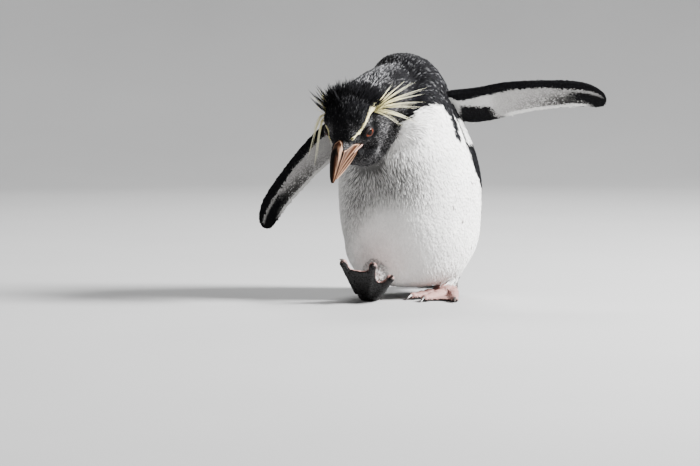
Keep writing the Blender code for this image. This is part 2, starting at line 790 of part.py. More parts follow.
def main():
    clear_scene()
    parts = new_collection("rockhopper_penguin")
    helpers = new_collection("cutters", hidden=True)
    made = {}

    def keep(name, mesh, finish):
        mesh.materials.clear()
        mesh.materials.append(material(finish))
        shade(mesh)
        made[name] = add_mesh(name, mesh, parts)

    floor = floor_block(helpers)
    body = body_mesh(helpers)
    eyes = {"left": eye_form(1), "right": eye_form(-1)}
    bills = {"bill_upper": upper_bill_form(), "bill_lower": lower_bill_form()}
    body_cutter = swollen(body.copy(), helpers)

    sockets = [swollen(eye.copy(), helpers) for eye in eyes.values()]
    sockets += [swollen(bill.copy(), helpers) for bill in bills.values()]
    neck_cut = slab("neck_cut", place(-0.006, 0.064, 0.220), place(-0.10, 0.90, 0.43), 0.092, helpers)
    head_cut = slab("head_cut", place(-0.027, 0.0975, 0.200), place(-0.18, 1.0, 0.05), 0.066, helpers)
    cut_body = combined(body, [*sockets, neck_cut, head_cut], "DIFFERENCE", helpers)
    pieces = bodies_of(cut_body, "piece")[:3]
    pieces.sort(key=lambda mesh: sum(v.co.y for v in mesh.vertices) / len(mesh.vertices))
    keep("head", pieces[0], "black_feathers")
    keep("neck", pieces[1], "black_feathers")
    keep("trunk", pieces[2], "white_feathers")

    for which, eye in eyes.items():
        keep("eye_" + which, eye, "eye")
    for name, bill in bills.items():
        keep(name, bill, "bill_horn")

    for which in FLIPPERS:
        flipper = combined(flipper_form(which), [body_cutter], "DIFFERENCE", helpers)
        keep("flipper_" + which, largest_body(flipper, "flipper_" + which), "black_feathers")

    for which in FEET:
        leg = combined(leg_form(which), [body_cutter], "DIFFERENCE", helpers)
        leg = largest_body(leg, "leg_" + which)
        leg_cutter = swollen(leg.copy(), helpers)
        foot = combined(foot_form(which, helpers), [leg_cutter, body_cutter, floor], "DIFFERENCE", helpers)
        foot = largest_body(foot, "foot_" + which)
        foot_cutter = swollen(foot.copy(), helpers)
        keep("leg_" + which, leg, "white_feathers")
        keep("foot_" + which, foot, "foot_skin")
        for toe in TOES:
            claw = combined(claw_form(which, toe), [foot_cutter, floor], "DIFFERENCE", helpers)
            keep(f"claw_{which}_{toe}", largest_body(claw, f"claw_{which}_{toe}"), "claw_horn")

    tail = remeshed("tail", tail_forms(), TAIL_VOXEL, 1, TAIL_TRIANGLES, helpers)
    tail = combined(tail, [body_cutter, floor], "DIFFERENCE", helpers)
    keep("tail", largest_body(tail, "tail"), "black_feathers")

    for which, sign in (("left", 1), ("right", -1)):
        crest = united("crest_" + which, crest_forms(which, sign, body), helpers)
        crest = combined(crest, [body_cutter], "DIFFERENCE", helpers)
        keep("crest_" + which, largest_body(crest, "crest_" + which), "crest_feathers")

    centre_on_origin(made.values())


def centre_on_origin(objects):
    """Moves the bird so that the origin is on the floor under the middle of its box."""
    corners = [v.co for obj in objects for v in obj.data.vertices]
    low = [min(c[k] for c in corners) for k in range(3)]
    high = [max(c[k] for c in corners) for k in range(3)]
    shift = Vector((-(low[0] + high[0]) / 2, -(low[1] + high[1]) / 2, -low[2]))
    for obj in objects:
        obj.location = shift


main()
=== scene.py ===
"""Looks of the southern rockhopper penguin: skin, coat, crest, bill, eyes, feet and tail.

Lengths are in metres, in the frame's own axes: the bird's left is +X, it faces -Y and up is +Z.
Every feather is a small vane of mesh that grows out of one skin and lies along the coat.
"""

import math

import bmesh
import bpy
import numpy as np
from mathutils import Matrix, Vector
from mathutils.bvhtree import BVHTree
from mathutils.kdtree import KDTree


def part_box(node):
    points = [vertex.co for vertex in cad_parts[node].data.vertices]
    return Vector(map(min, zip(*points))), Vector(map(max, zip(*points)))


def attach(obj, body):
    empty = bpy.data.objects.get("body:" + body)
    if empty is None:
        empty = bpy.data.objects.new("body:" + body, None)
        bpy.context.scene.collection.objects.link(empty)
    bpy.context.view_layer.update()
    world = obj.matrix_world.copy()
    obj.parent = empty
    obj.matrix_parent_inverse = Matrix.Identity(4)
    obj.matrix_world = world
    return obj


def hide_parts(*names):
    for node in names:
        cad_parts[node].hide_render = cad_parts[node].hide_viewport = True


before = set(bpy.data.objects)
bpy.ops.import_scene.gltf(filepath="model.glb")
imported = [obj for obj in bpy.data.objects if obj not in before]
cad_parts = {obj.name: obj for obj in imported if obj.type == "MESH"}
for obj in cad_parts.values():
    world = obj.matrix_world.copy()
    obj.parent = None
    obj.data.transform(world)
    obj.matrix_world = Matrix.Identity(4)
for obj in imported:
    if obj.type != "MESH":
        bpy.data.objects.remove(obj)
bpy.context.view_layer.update()        # frame["bodies"], ["nodes"], ["joints"], ["record"]
RANDOM = np.random.default_rng(7)
SIDES = (("left", 1), ("right", -1))  # the bird's own sides, with their signs along LEFT

# Skin
FLESH = [
    "trunk", "neck", "head", "leg_left", "leg_right",
    "foot_left", "foot_right", "flipper_left", "flipper_right",
]
KIND = {name: i for i, name in enumerate(FLESH)}  # the number that stands for each node
PARTS = [name.split("_")[0] for name in FLESH]  # the nodes' names without their sides
SWELL = 0.0005  # closes the thin cuts between the nodes before they are made one skin
SKIN_VOXEL = 0.00115
SKIN_TRIANGLES = 170_000
SKIN_ROUNDS = 10  # of smoothing after the remesh
COAT_DEPTH = {  # how far the skin lies below the frame's surface, to leave room for the coat
    "trunk": 0.0016, "neck": 0.0016, "head": 0.0009, "leg": 0.0014, "foot": -0.0001, "flipper": 0.0,
}

# The head's own axes are ahead, left and up, from the point between the eyes
HEAD_PITCH = math.radians(45)  # bill below the horizon
EYE_AHEAD, EYE_UP = 0.0004, -0.0048  # the eyes' centres in those axes
EYE_RADIUS = 0.0072

MAP_PATCH = 0.003  # each feather's patch on the bake map
UNWRAP_TRIANGLES = 14_000
FLOOR_GAP = 0.0002  # the least height of a feather above the floor


# Landmarks, from the frame


def middle(node):
    low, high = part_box(node)
    return (low + high) / 2


def array(vectors):
    return np.array([tuple(v) for v in vectors], float)


def unit(v):
    return v / np.maximum(np.linalg.norm(v, axis=-1, keepdims=True), 1e-12)


EYES = {which: middle("eye_" + which) for which, _ in SIDES}
LEFT = (EYES["left"] - EYES["right"]).normalized()
LEVEL = LEFT.cross(Vector((0, 0, 1)))
AHEAD = LEVEL * math.cos(HEAD_PITCH) - Vector((0, 0, math.sin(HEAD_PITCH)))
UP = AHEAD.cross(LEFT)
BETWEEN_EYES = (EYES["left"] + EYES["right"]) / 2 - AHEAD * EYE_AHEAD - UP * EYE_UP
HEAD_AXES = array([AHEAD, LEFT, UP])

TRUNK_LOW, TRUNK_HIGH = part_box("trunk")
TRUNK_MIDDLE_X = (TRUNK_LOW.x + TRUNK_HIGH.x) / 2

# Trunk sections: (height, distance of the middle from the rump, half depth, half width)
TRUNK_SECTIONS = np.array([
    (0.020, 0.080, 0.041, 0.044),
    (0.060, 0.076, 0.075, 0.073),
    (0.100, 0.084, 0.080, 0.077),
    (0.140, 0.092, 0.077, 0.076),
    (0.175, 0.098, 0.068, 0.066),
    (0.205, 0.103, 0.054, 0.053),
    (0.235, 0.107, 0.037, 0.043),
    (0.260, 0.109, 0.015, 0.026),
])


FOOT_UP = {
    "left": np.array((0.0, 0.0, 1.0)),
    "right": unit(np.array((-0.10, 0.58, 0.80))),
}


def eye_at(sign):
    """The centre of the eye on the side with this sign."""
    return EYES["left" if sign > 0 else "right"]


def eye_axis(sign):
    """The way an eye looks: sideways and a little ahead."""
    return (LEFT * (sign * 0.85) + AHEAD * 0.50 + UP * 0.08).normalized()


def read(table, x, column=1):
    """A column of a table at places x of its first column."""
    return np.interp(x, table[:, 0], table[:, column])


def on_head(ahead, left, up):
    """The point at (ahead, left, up) in the head's own axes."""
    return BETWEEN_EYES + AHEAD * ahead + LEFT * left + UP * up


def head_places(points):
    """Points as (ahead, left, up) in the head's own axes."""
    return (points - np.array(BETWEEN_EYES)) @ HEAD_AXES.T


def trunk_places(points):
    """Points as (angle from the middle of the breast in degrees, height, side)."""
    height = points[:, 2]
    rump, depth, width = (read(TRUNK_SECTIONS, height, k) for k in (1, 2, 3))
    forward = (TRUNK_HIGH.y - points[:, 1] - rump) / depth
    outward = (points[:, 0] - TRUNK_MIDDLE_X) / width
    return np.degrees(np.arctan2(np.abs(outward), forward)), height, np.sign(outward)


class Flipper:
    """A flipper's own measures: share of the span from the root, and of the chord from front to back."""

    SAMPLES = 30  # places measured on each triangle
    SLICE = 0.012  # half the slice, as a share of the span, that gives one station's edges

    def __init__(self, which):
        corners, _, triangles = mesh_arrays(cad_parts["flipper_" + which].data)
        shares = np.random.default_rng(3).dirichlet((1, 1, 1), (len(triangles), self.SAMPLES))
        points = np.vstack([corners, (shares @ corners[triangles]).reshape(-1, 3)])
        centre = points.mean(0)
        _, _, axes = np.linalg.svd(points - centre, full_matrices=False)
        span, _, thick = axes
        body = np.array([TRUNK_MIDDLE_X, 0.0, 0.2])
        if span @ (centre - body) < 0:
            span = -span
        black_side = np.array([0, 0.55, 0.8 if which == "left" else 0.35])
        if thick @ black_side < 0:
            thick = -thick
        chord = unit(np.cross(thick, span))
        if chord[2] > 0:
            chord = -chord
        self.span, self.chord, self.upper = span, chord, thick
        along = points @ span
        self.start, self.length = along.min(), along.max() - along.min()
        shares = (along - self.start) / self.length
        self.stations = np.linspace(0.03, 0.985, 30)
        across = points @ chord
        front, back = [], []
        for s in self.stations:
            near = across[np.abs(shares - s) < self.SLICE]
            front.append(near.min())
            back.append(near.max())
        self.front, self.back = np.array(front), np.array(back)

    def places(self, points):
        """(share of the span, share of the chord) of points."""
        s = (points @ self.span - self.start) / self.length
        front = np.interp(s, self.stations, self.front)
        back = np.interp(s, self.stations, self.back)
        return s, (points @ self.chord - front) / (back - front)


# Markings. The skin and the coat both take their colours from here.

WHITE = np.array((0.84, 0.83, 0.81))
BLACK = np.array((0.0030, 0.0030, 0.0038))
STAIN = np.array((0.16, 0.14, 0.13))  # the few soiled feathers of the front
FACE = np.array((0.092, 0.090, 0.092))
CROWN_FLECK = 0.034
# Grey of the nape's streaks and of the flecks on the back: the feathers' own grey tips with painted sheen
# over them
NAPE_SHEEN = np.array((0.12, 0.12, 0.125))
UNDERWING = np.array((0.46, 0.45, 0.44))
SOLE = np.array((0.0035, 0.0030, 0.0030))
TOE_TOP = np.array((0.30, 0.17, 0.15))
FLIPPER_ROOT, LEG_ROOT = 0.8, 0.5  # how dark their feathers are at the root

# Where the white of the front ends on the flank: (height, angle from the middle of the breast)
FLANK_EDGE = np.array([
    (0.020, 120), (0.040, 118), (0.080, 112), (0.110, 104), (0.125, 96), (0.136, 88), (0.143, 82),
    (0.154, 77.5), (0.163, 76.5), (0.1755, 76), (0.188, 77), (0.197, 77), (0.206, 74), (0.2157, 58),
])
# The black spur that runs down in front of the wing pit: (height, front edge, width), in degrees
SPUR = np.array([
    (0.1785, 64, 4.0), (0.184, 61, 7.0), (0.191, 62.5, 8.5), (0.198, 63.5, 9.5), (0.206, 62.5, 11.0),
    (0.2157, 51, 14.0),
])
# The top of the white on the breast: (angle, height)
BREAST_TOP = np.array([(0, 0.190), (13, 0.194), (22, 0.205), (34, 0.2128), (43, 0.216), (60, 0.2165)])
FACE_RADIUS = 0.051  # the dark of the face ends this far from the axis of the bill
# Where the tones of the head fade out and in, in its own axes
FACE_BACK = (-0.060, -0.044)
CROWN_EDGE, CROWN_BACK = (0.004, 0.012), (-0.052, -0.044)
FOREHEAD_SIDE, FOREHEAD_EDGE, FOREHEAD_BACK = (0.011, 0.007), (0.0, 0.002), (0.0, 0.010)
NAPE_FRONT, NAPE_BACK = (-0.034, -0.042), (-0.110, -0.080)
NAPE_EDGE, NAPE_SIDE = (-0.012, 0.004), (0.036, 0.020)
SOCKET_REACH, SOCKET_TOP = (0.0125, 0.0085), (0.0075, 0.0035)
EDGE_BLUR = 0.0008  # half the breadth of the edges of the face and the breast


def ease(low, high, x):
    t = np.clip((x - low) / (high - low), 0, 1)
    return t * t * (3 - 2 * t)


def line(x, centre, width):
    """1 on a line, fading over its width."""
    return np.exp(-(((x - centre) / width) ** 2))


def mix(first, second, share):
    return first + (second - first) * np.asarray(share)[..., None]


def speck(points):
    """A number from 0 to 1 for each place, with no likeness between neighbours."""
    return np.modf(np.abs(np.sin(points @ np.array((1271.9, 3117.3, 2743.1))) * 4375.85))[0]


def face_share(points):
    """1 on the dark of the face, 0 off it."""
    _, left, up = head_places(points).T
    return ease(-EDGE_BLUR, EDGE_BLUR, FACE_RADIUS - np.hypot(left, up))


def wing_pit(points):
    """1 on the pale down of the wing pit."""
    angle, height, _ = trunk_places(points)
    edge = read(FLANK_EDGE, height)
    spot = ((angle - 85) / 11) ** 4 + ((height - 0.1865) / 0.0125) ** 4
    return ease(2.0, 4.0, angle - edge) * ease(1.25, 0.8, spot)


def dark_share(points):
    """1 on the black of head, neck and back, 0 on the white of the front."""
    angle, height, _ = trunk_places(points)
    ragged = 1.2 * (speck(points) - 0.5)
    dark = ease(-0.9, 0.9, angle - read(FLANK_EDGE, height) + ragged) * (1 - wing_pit(points))
    front, width = (read(SPUR, height, k) for k in (1, 2))
    on_spur = ease(-0.8, 0.8, angle - front + ragged) * ease(0.8, -0.8, angle - front - width + ragged)
    on_spur = on_spur * (height > SPUR[0, 0])
    above = ease(-EDGE_BLUR, EDGE_BLUR, height - read(BREAST_TOP, angle))
    return np.maximum.reduce([dark, on_spur, above, face_share(points)])


def parting_and_shade_share(points):
    """1 on the breast below the chin, where the feathers part and show their dark bases. In the colours it
    also carries painted shade, as if the head's shadow fell there.
    """
    angle, height, side = trunk_places(points)
    turn = angle * side
    # Towards the bird's right the mask reaches lower and wider: in the colours this is painted shade on the
    # side away from the key lamp.
    rightward = np.clip(-turn - 10, 0, 60)
    low = 0.136 - 0.0007 * rightward
    return np.exp(-(((turn + 12) / 40) ** 4) - ((height - low) / (0.029 + 0.0006 * rightward)) ** 4)


def body_colours(points):
    """(root, tip) colours of the feathers of head, neck and trunk."""
    dark = dark_share(points)
    ahead, left, up = head_places(points).T
    face = face_share(points) * ease(*FACE_BACK, ahead)
    crown = ease(*CROWN_EDGE, up - 0.35 * ahead) * ease(*CROWN_BACK, ahead)
    forehead = ease(*FOREHEAD_SIDE, np.abs(left)) * ease(*FOREHEAD_EDGE, up) * ease(*FOREHEAD_BACK, ahead)
    crown = np.maximum(crown, forehead)
    nape = ease(*NAPE_FRONT, ahead) * ease(*NAPE_BACK, ahead) * ease(*NAPE_EDGE, up)
    nape = nape * ease(*NAPE_SIDE, np.abs(left))
    grain = speck(points)
    # Grey flecks on the black behind the head, many more high on the back: grey tips with painted sheen,
    # lighter towards the top
    high = ease(0.195, 0.235, trunk_places(points)[1])
    sheen_flecks = ease(0.79, 0.95, grain) * ease(-0.052, -0.064, ahead) * (0.08 + 0.92 * high)
    black = BLACK * (0.7 + 0.8 * grain[:, None])
    tip = mix(black, FACE * (0.45 + 1.5 * grain[:, None] ** 2), face * (1 - crown))
    # The nape's band of grey streaks: painted sheen over the feathers' own grey tips
    tip = mix(tip, NAPE_SHEEN * (0.06 + 4.4 * grain[:, None] ** 3), nape)
    tip = mix(tip, NAPE_SHEEN * 0.55, sheen_flecks * dark * (1 - face))
    for eye in EYES.values():
        aside = points - np.array(eye)
        socket = ease(*SOCKET_REACH, np.linalg.norm(aside, axis=1)) * ease(*SOCKET_TOP, aside @ HEAD_AXES[2])
        tip = mix(tip, BLACK, 0.85 * socket * face)
    tip = tip + (CROWN_FLECK * ease(0.66, 1.0, grain) * crown * dark)[:, None]
    streak = parting_and_shade_share(points)
    # Dark feather bases show where the feathers part; this darkening of the roots is made deeper as painted
    # shade.
    root = mix(WHITE * (0.90 - 0.80 * streak[:, None]), BLACK * 0.7, dark)
    stained = (speck(points + 3.7) > 0.9975) & (dark < 0.05)
    # Painted shade, broken into streaks: the tips darken below the chin and down the bird's right side, as
    # if in the head's shadow.
    shadow = streak * (0.10 + 0.70 * speck(points + 1.3) ** 2)
    white = mix(WHITE * (1 - shadow[:, None]), STAIN, stained)
    return root, mix(white, tip, dark)


# The black along a flipper's front edge below: (share of the span, share of the chord)
WING_BAND = np.array([
    (0, 0.58), (0.04, 0.42), (0.09, 0.25), (0.21, 0.20), (0.29, 0.21), (0.37, 0.19), (0.50, 0.205),
    (0.62, 0.20), (0.68, 0.25), (0.76, 0.29), (0.84, 0.29), (0.90, 0.29), (0.96, 0.30), (1.0, 0.5),
])


def flipper_colours(which, points, normals):
    """Black above with a white rim behind; below, grey-white with black at the front edge, root and tip.

    Here s is the share of the span from the root, and c the share of the chord from the front edge.
    """
    flipper = FLIPPERS[which]
    s, c = flipper.places(points)
    grain = speck(points)
    under = normals @ flipper.upper < 0
    rough = (grain - 0.5) * np.interp(s, (0, 0.6, 0.75, 1), (0.03, 0.03, 0.09, 0.04))
    band = ease(0.012, -0.012, c + rough - read(WING_BAND, s))
    base = ease(0.07, 0.09, s) * ease(0.012, -0.012, s - 0.275 - 0.11 * (c - 0.6) + rough)
    base = base * ease(-0.02, 0.02, c + 2.5 * rough - np.interp(s, (0.08, 0.27), (0.40, 0.52)))
    smear = ease(-0.03, 0.03, c - 0.84 - 0.9 * (s - 0.28)) * ease(0.24, 0.28, s) * ease(0.46, 0.40, s)
    smear = smear * (grain > 0.35)
    patch = ease(0.755, 0.80, s + rough * 0.9) * ease(0.36, 0.39, c + 0.3 * rough)
    patch = patch * ease(0.0, 0.03, 0.72 + 0.9 * ease(0.86, 0.95, s) - c)
    end = ease(0.965, 0.98, s + 0.5 * rough)
    dark = np.maximum.reduce([band, base, smear, patch, end])
    grey = ease(0.42, 0.85, s + 0.18 * c) * (0.35 + 0.65 * ease(0.30, 0.60, c))
    far = ease(0.58, 0.80, s)
    stipple = 0.35 - 0.25 * far + 1.3 * (grain > 0.45 + 0.35 * grey + 0.14 * far)
    pale = mix(UNDERWING * (0.92 + 0.16 * grain[:, None]), UNDERWING * 0.62 * stipple[:, None], grey)
    fluff = ease(0.34, 0.24, s) * ease(0.62, 0.55, c)
    pale = mix(pale, WHITE * 0.86, fluff * 0.8)
    crescent = line(c, np.interp(s, (0.76, 0.87, 0.98), (0.35, 0.37, 0.42)), 0.028) * ease(0.78, 0.84, s)
    pale = mix(pale, UNDERWING * 0.6, crescent * ease(0.985, 0.96, s))
    dark = dark * (1 - 0.75 * crescent * (band < 0.5) * ease(0.985, 0.96, s))
    rim = ease(0.82, 0.86, c + 0.4 * rough) * ease(0.92, 0.84, s) * ease(0.33, 0.40, s)
    lower = mix(mix(pale, BLACK, dark), WHITE, rim)
    black = BLACK * (0.8 + 1.4 * grain[:, None] ** 3)
    upper = mix(black, WHITE, ease(0.95, 0.97, c) * ease(0.94, 0.86, s))
    return np.where(under[:, None], lower, upper)


def leg_colours(normals):
    return mix(WHITE, BLACK, ease(0.25, 0.60, normals[:, 1]))


def foot_colours(normals, up):
    return mix(SOLE, TOE_TOP, ease(-0.25, 0.20, normals @ up))


# The lie of the coat: a place and the way the feathers there point. Places on the head are in its
# own axes, and places on the trunk are (side of its middle, world y, height).

HEAD_LIE = [
    ((0.020, 0.000, 0.008), (-1.0, 0.0, 0.15)),
    ((0.008, 0.000, 0.022), (-0.9, 0.0, 0.45)),
    ((-0.015, 0.000, 0.028), (-1.0, 0.0, 0.05)),
    ((-0.040, 0.000, 0.020), (-0.8, 0.0, -0.5)),
    ((0.002, 0.024, 0.000), (-1.0, 0.1, 0.0)),
    ((-0.005, 0.028, -0.018), (-0.9, 0.15, -0.35)),
    ((-0.025, 0.032, 0.000), (-1.0, 0.1, -0.1)),
    ((0.015, 0.000, -0.025), (-0.7, 0.0, -0.7)),
    ((0.005, 0.015, -0.042), (-0.5, 0.25, -0.85)),
    ((-0.025, 0.045, -0.018), (-0.75, 0.3, -0.6)),
]
TRUNK_LIE = [
    ((-0.010, -0.060, 0.255), (0.0, 0.95, 0.3)),
    ((0.000, -0.030, 0.267), (0.0, 1.0, -0.1)),
    ((0.000, 0.020, 0.235), (0.0, 0.6, -0.8)),
    ((0.000, 0.055, 0.170), (0.0, 0.3, -0.95)),
    ((0.000, 0.078, 0.100), (0.0, 0.1, -1.0)),
    ((0.000, 0.082, 0.055), (0.0, 0.6, -0.8)),
    ((0.000, -0.085, 0.170), (0.0, -0.15, -1.0)),
    ((0.034, -0.076, 0.165), (0.4, -0.1, -1.0)),
    ((0.000, -0.088, 0.110), (0.0, 0.05, -1.0)),
    ((0.000, -0.060, 0.045), (0.0, 0.55, -0.85)),
    ((0.000, 0.000, 0.020), (0.0, 1.0, -0.1)),
    ((0.045, -0.035, 0.215), (0.35, 0.25, -0.9)),
    ((0.066, -0.010, 0.170), (0.1, 0.15, -1.0)),
    ((0.077, 0.000, 0.110), (0.0, 0.2, -1.0)),
    ((0.060, -0.010, 0.045), (-0.2, 0.3, -0.95)),
]
LIE_REACH = 0.012
LEG_LEAN = np.array((0, 0.004, 0))  # the legs' feathers point a little behind the foot


def lie_table():
    places, ways = [], []
    for (a, l, u), (da, dl, du) in HEAD_LIE:
        for sign in (1, -1) if l else (1,):
            places.append(on_head(a, sign * l, u))
            ways.append(AHEAD * da + LEFT * (sign * dl) + UP * du)
    for (x, y, z), (dx, dy, dz) in TRUNK_LIE:
        for sign in (1, -1) if x > 0 else (1,):
            places.append(Vector((TRUNK_MIDDLE_X + sign * x, y, z)))
            ways.append(Vector((sign * dx, dy, dz)))
    return array(places), unit(array(ways))


LIE_PLACES, LIE_WAYS = lie_table()


def lie(points, normals, kinds):
    """The unit tangent along which the feather at each point lies."""
    away = ((points[:, None, :] - LIE_PLACES[None]) ** 2).sum(-1)
    weight = 1 / (away + LIE_REACH**2) ** 2
    way = unit(weight @ LIE_WAYS)
    for which, flipper in FLIPPERS.items():
        on = kinds == KIND["flipper_" + which]
        way[on] = unit(flipper.span + 0.35 * flipper.chord)
    for which, _ in SIDES:
        on = kinds == KIND["leg_" + which]
        way[on] = unit(np.array(middle("foot_" + which) - middle("leg_" + which)) + LEG_LEAN)
    return unit(way - normals * (way * normals).sum(-1, keepdims=True))


# Mesh tools


def in_scene(name, data):
    """A new object in the scene, for a mesh, a lamp or a camera."""
    obj = bpy.data.objects.new(name, data)
    bpy.context.scene.collection.objects.link(obj)
    return obj


def finished(bm, name):
    """A new mesh with what the bmesh holds. The bmesh is freed."""
    mesh = bpy.data.meshes.new(name)
    bm.to_mesh(mesh)
    bm.free()
    return mesh


def new_piece(name, points, triangles, colours, maps=None):
    """A smooth mesh object from arrays. Colours are per point, and each map holds a UV place per point."""
    points = np.asarray(points, np.float32)
    triangles = np.asarray(triangles, np.int32)
    mesh = bpy.data.meshes.new(name)
    mesh.vertices.add(len(points))
    mesh.vertices.foreach_set("co", points.ravel())
    mesh.loops.add(triangles.size)
    mesh.loops.foreach_set("vertex_index", triangles.ravel())
    mesh.polygons.add(len(triangles))
    mesh.polygons.foreach_set("loop_start", np.arange(0, triangles.size, 3, dtype=np.int32))
    mesh.update(calc_edges=True)
    mesh.validate()
    for map_name, places in (maps or {}).items():
        layer = mesh.uv_layers.new(name=map_name)
        layer.data.foreach_set("uv", np.asarray(places, np.float32)[triangles.ravel()].ravel())
    rgba = np.ones((len(colours), 4), np.float32)
    rgba[:, :3] = np.clip(colours, 0, 1)
    layer = mesh.color_attributes.new("Colour", "FLOAT_COLOR", "POINT")
    layer.data.foreach_set("color", rgba.ravel())
    mesh.shade_smooth()
    return in_scene(name, mesh)


def field_array(items, field, width, kind):
    """A field of many mesh items as an array with this many columns."""
    values = np.empty(len(items) * width, kind)
    items.foreach_get(field, values)
    return values.reshape(-1, width)


def mesh_arrays(mesh):
    """Points, point normals and triangles of a mesh."""
    mesh.calc_loop_triangles()
    points = field_array(mesh.vertices, "co", 3, np.float32)
    normals = field_array(mesh.vertex_normals, "vector", 3, np.float32)
    triangles = field_array(mesh.loop_triangles, "vertices", 3, np.int32)
    return points.astype(float), normals.astype(float), triangles


def baked_copy(obj, name):
    """The object's mesh with its modifiers applied; the object itself is removed."""
    bpy.context.view_layer.update()
    graph = bpy.context.evaluated_depsgraph_get()
    mesh = bpy.data.meshes.new_from_object(obj.evaluated_get(graph))
    mesh.name = name
    bpy.data.objects.remove(obj)
    return mesh


def thinned(mesh, name, ratio):
    """The mesh with this share of its faces. The mesh given is used up."""
    obj = in_scene(name, mesh)
    obj.modifiers.new("Decimate", "DECIMATE").ratio = ratio
    return baked_copy(obj, name)


def welded(node, swell=0.0):
    """A closed copy of a node's mesh, larger by swell all round."""
    bm = bmesh.new()
    bm.from_mesh(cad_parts[node].data)
    bmesh.ops.remove_doubles(bm, verts=bm.verts, dist=1e-5)
    bm.normal_update()
    for vert in bm.verts:
        vert.co += vert.normal * swell
    return finished(bm, node + "_welded")


def remeshed(name, meshes, voxel, smoothing, triangles=None):
    """Overlapping closed meshes made one skin, with no more than this many triangles."""
    bm = bmesh.new()
    for mesh in meshes:
        bm.from_mesh(mesh)
    obj = in_scene(name, finished(bm, name))
    remesh = obj.modifiers.new("Remesh", "REMESH")
    remesh.mode = "VOXEL"
    remesh.voxel_size = voxel
    dense = baked_copy(obj, name)
    fair(dense, smoothing)
    if triangles and 2 * len(dense.polygons) > triangles:
        dense = thinned(dense, name, triangles / (2 * len(dense.polygons)))
    return dense


def fair(mesh, rounds):
    """Smooths a mesh without shrinking it: each step inward is followed by one outward."""
    points = field_array(mesh.vertices, "co", 3, float)
    ends = field_array(mesh.edges, "vertices", 2, np.int32)
    a, b = ends.T
    count = len(points)
    near = np.maximum(np.bincount(ends.ravel(), minlength=count), 1)[:, None]
    for _ in range(rounds):
        for step in (0.50, -0.53):
            sums = [np.bincount(a, p[b], count) + np.bincount(b, p[a], count) for p in points.T]
            points = points + step * (np.stack(sums, 1) / near - points)
    mesh.vertices.foreach_set("co", points.ravel())
    mesh.update()


def spread(values, triangles, rounds):
    """Values at the points of a mesh, averaged with their neighbours a number of times."""
    count = len(values)
    edges = np.vstack([triangles[:, pair] for pair in ([0, 1], [1, 2], [2, 0])])
    edges = np.unique(np.sort(edges, axis=1), axis=0)
    for _ in range(rounds):
        total, near = values.copy(), np.ones(count)
        for a, b in (edges.T, edges.T[::-1]):
            total += np.bincount(a, values[b], count)
            near += np.bincount(a, minlength=count)
        values = total / near
    return values


def face_normals(corners):
    """The normal of each triangle, twice as long as the triangle is large."""
    return np.cross(corners[:, 1] - corners[:, 0], corners[:, 2] - corners[:, 0])


def tree_of(points, triangles):
    return BVHTree.FromPolygons(points.tolist(), triangles.tolist(), all_triangles=True)


# Skin


def ball(centre, radii, turn):
    """A mesh ball with these half sizes, turned by a matrix."""
    bm = bmesh.new()
    bmesh.ops.create_uvsphere(bm, u_segments=24, v_segments=12, radius=1.0)
    scale = Matrix.Diagonal(Vector((*radii, 1.0)))
    bmesh.ops.transform(bm, matrix=Matrix.Translation(centre) @ turn.to_4x4() @ scale, verts=bm.verts)
    return finished(bm, "ball")


def tail_root():
    """The middle of the tail's base, and the way the tail points."""
    low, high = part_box("tail")
    root = Vector((middle("tail").x, low.y - 0.004, high.z - 0.006))
    tip = Vector((middle("tail").x, high.y, 0.001))
    return root, (tip - root).normalized()


FLIPPERS = {which: Flipper(which) for which, _ in SIDES}

# The bill from its base to its tip: (ahead, ridge height, cutting edge height, keel height, half width)
BILL_SECTIONS = np.array([
    (0.0080, 0.0005, -0.0172, -0.0235, 0.0138),
    (0.0150, 0.0020, -0.0160, -0.0248, 0.0130),
    (0.0220, 0.0026, -0.0146, -0.0252, 0.0118),
    (0.0300, 0.0024, -0.0132, -0.0250, 0.0104),
    (0.0380, 0.0010, -0.0124, -0.0241, 0.0088),
    (0.0460, -0.0016, -0.0122, -0.0226, 0.0071),
    (0.0530, -0.0055, -0.0130, -0.0206, 0.0054),
    (0.0590, -0.0096, -0.0144, -0.0184, 0.0038),
    (0.0630, -0.0128, -0.0160, -0.0172, 0.0024),
    (0.0652, -0.0150, -0.0168, -0.0172, 0.0012),
])
ORBIT = (0.0110, 0.0110, 0.0074)  # half sizes of the soft mound that the lids lie in
ORBIT_DEPTH = 0.0012  # how far its middle lies behind the eye's
RUMP = (0.024, 0.030, 0.0125)  # half sizes of the mound that the tail grows from
RUMP_BACK = 0.012
BILL_VOXEL = 0.00036
BILL_ROUNDS = 6
CHEEK_GAP = 0.0009  # how far inside the bill's half width the skin starts
CHEEK_SLOPE = 1.3  # how fast the cheeks widen behind the bill
LORES_RISE = 0.00025  # how far the bare skin lies over the horn
LORES_SINK = 0.0016  # how deep its edge goes under the horn
BILL_SURFACES = {}


def orbit(sign):
    axis = eye_axis(sign)
    return ball(eye_at(sign) - axis * ORBIT_DEPTH, ORBIT, axis.to_track_quat("Z", "Y").to_matrix())


def bill_surface(node):
    """(points, normals, triangles) of a fine, smooth copy of half the bill, made once."""
    if node not in BILL_SURFACES:
        horn = remeshed(node + "_horn", [welded(node)], BILL_VOXEL, BILL_ROUNDS)
        BILL_SURFACES[node] = mesh_arrays(horn)
    return BILL_SURFACES[node]


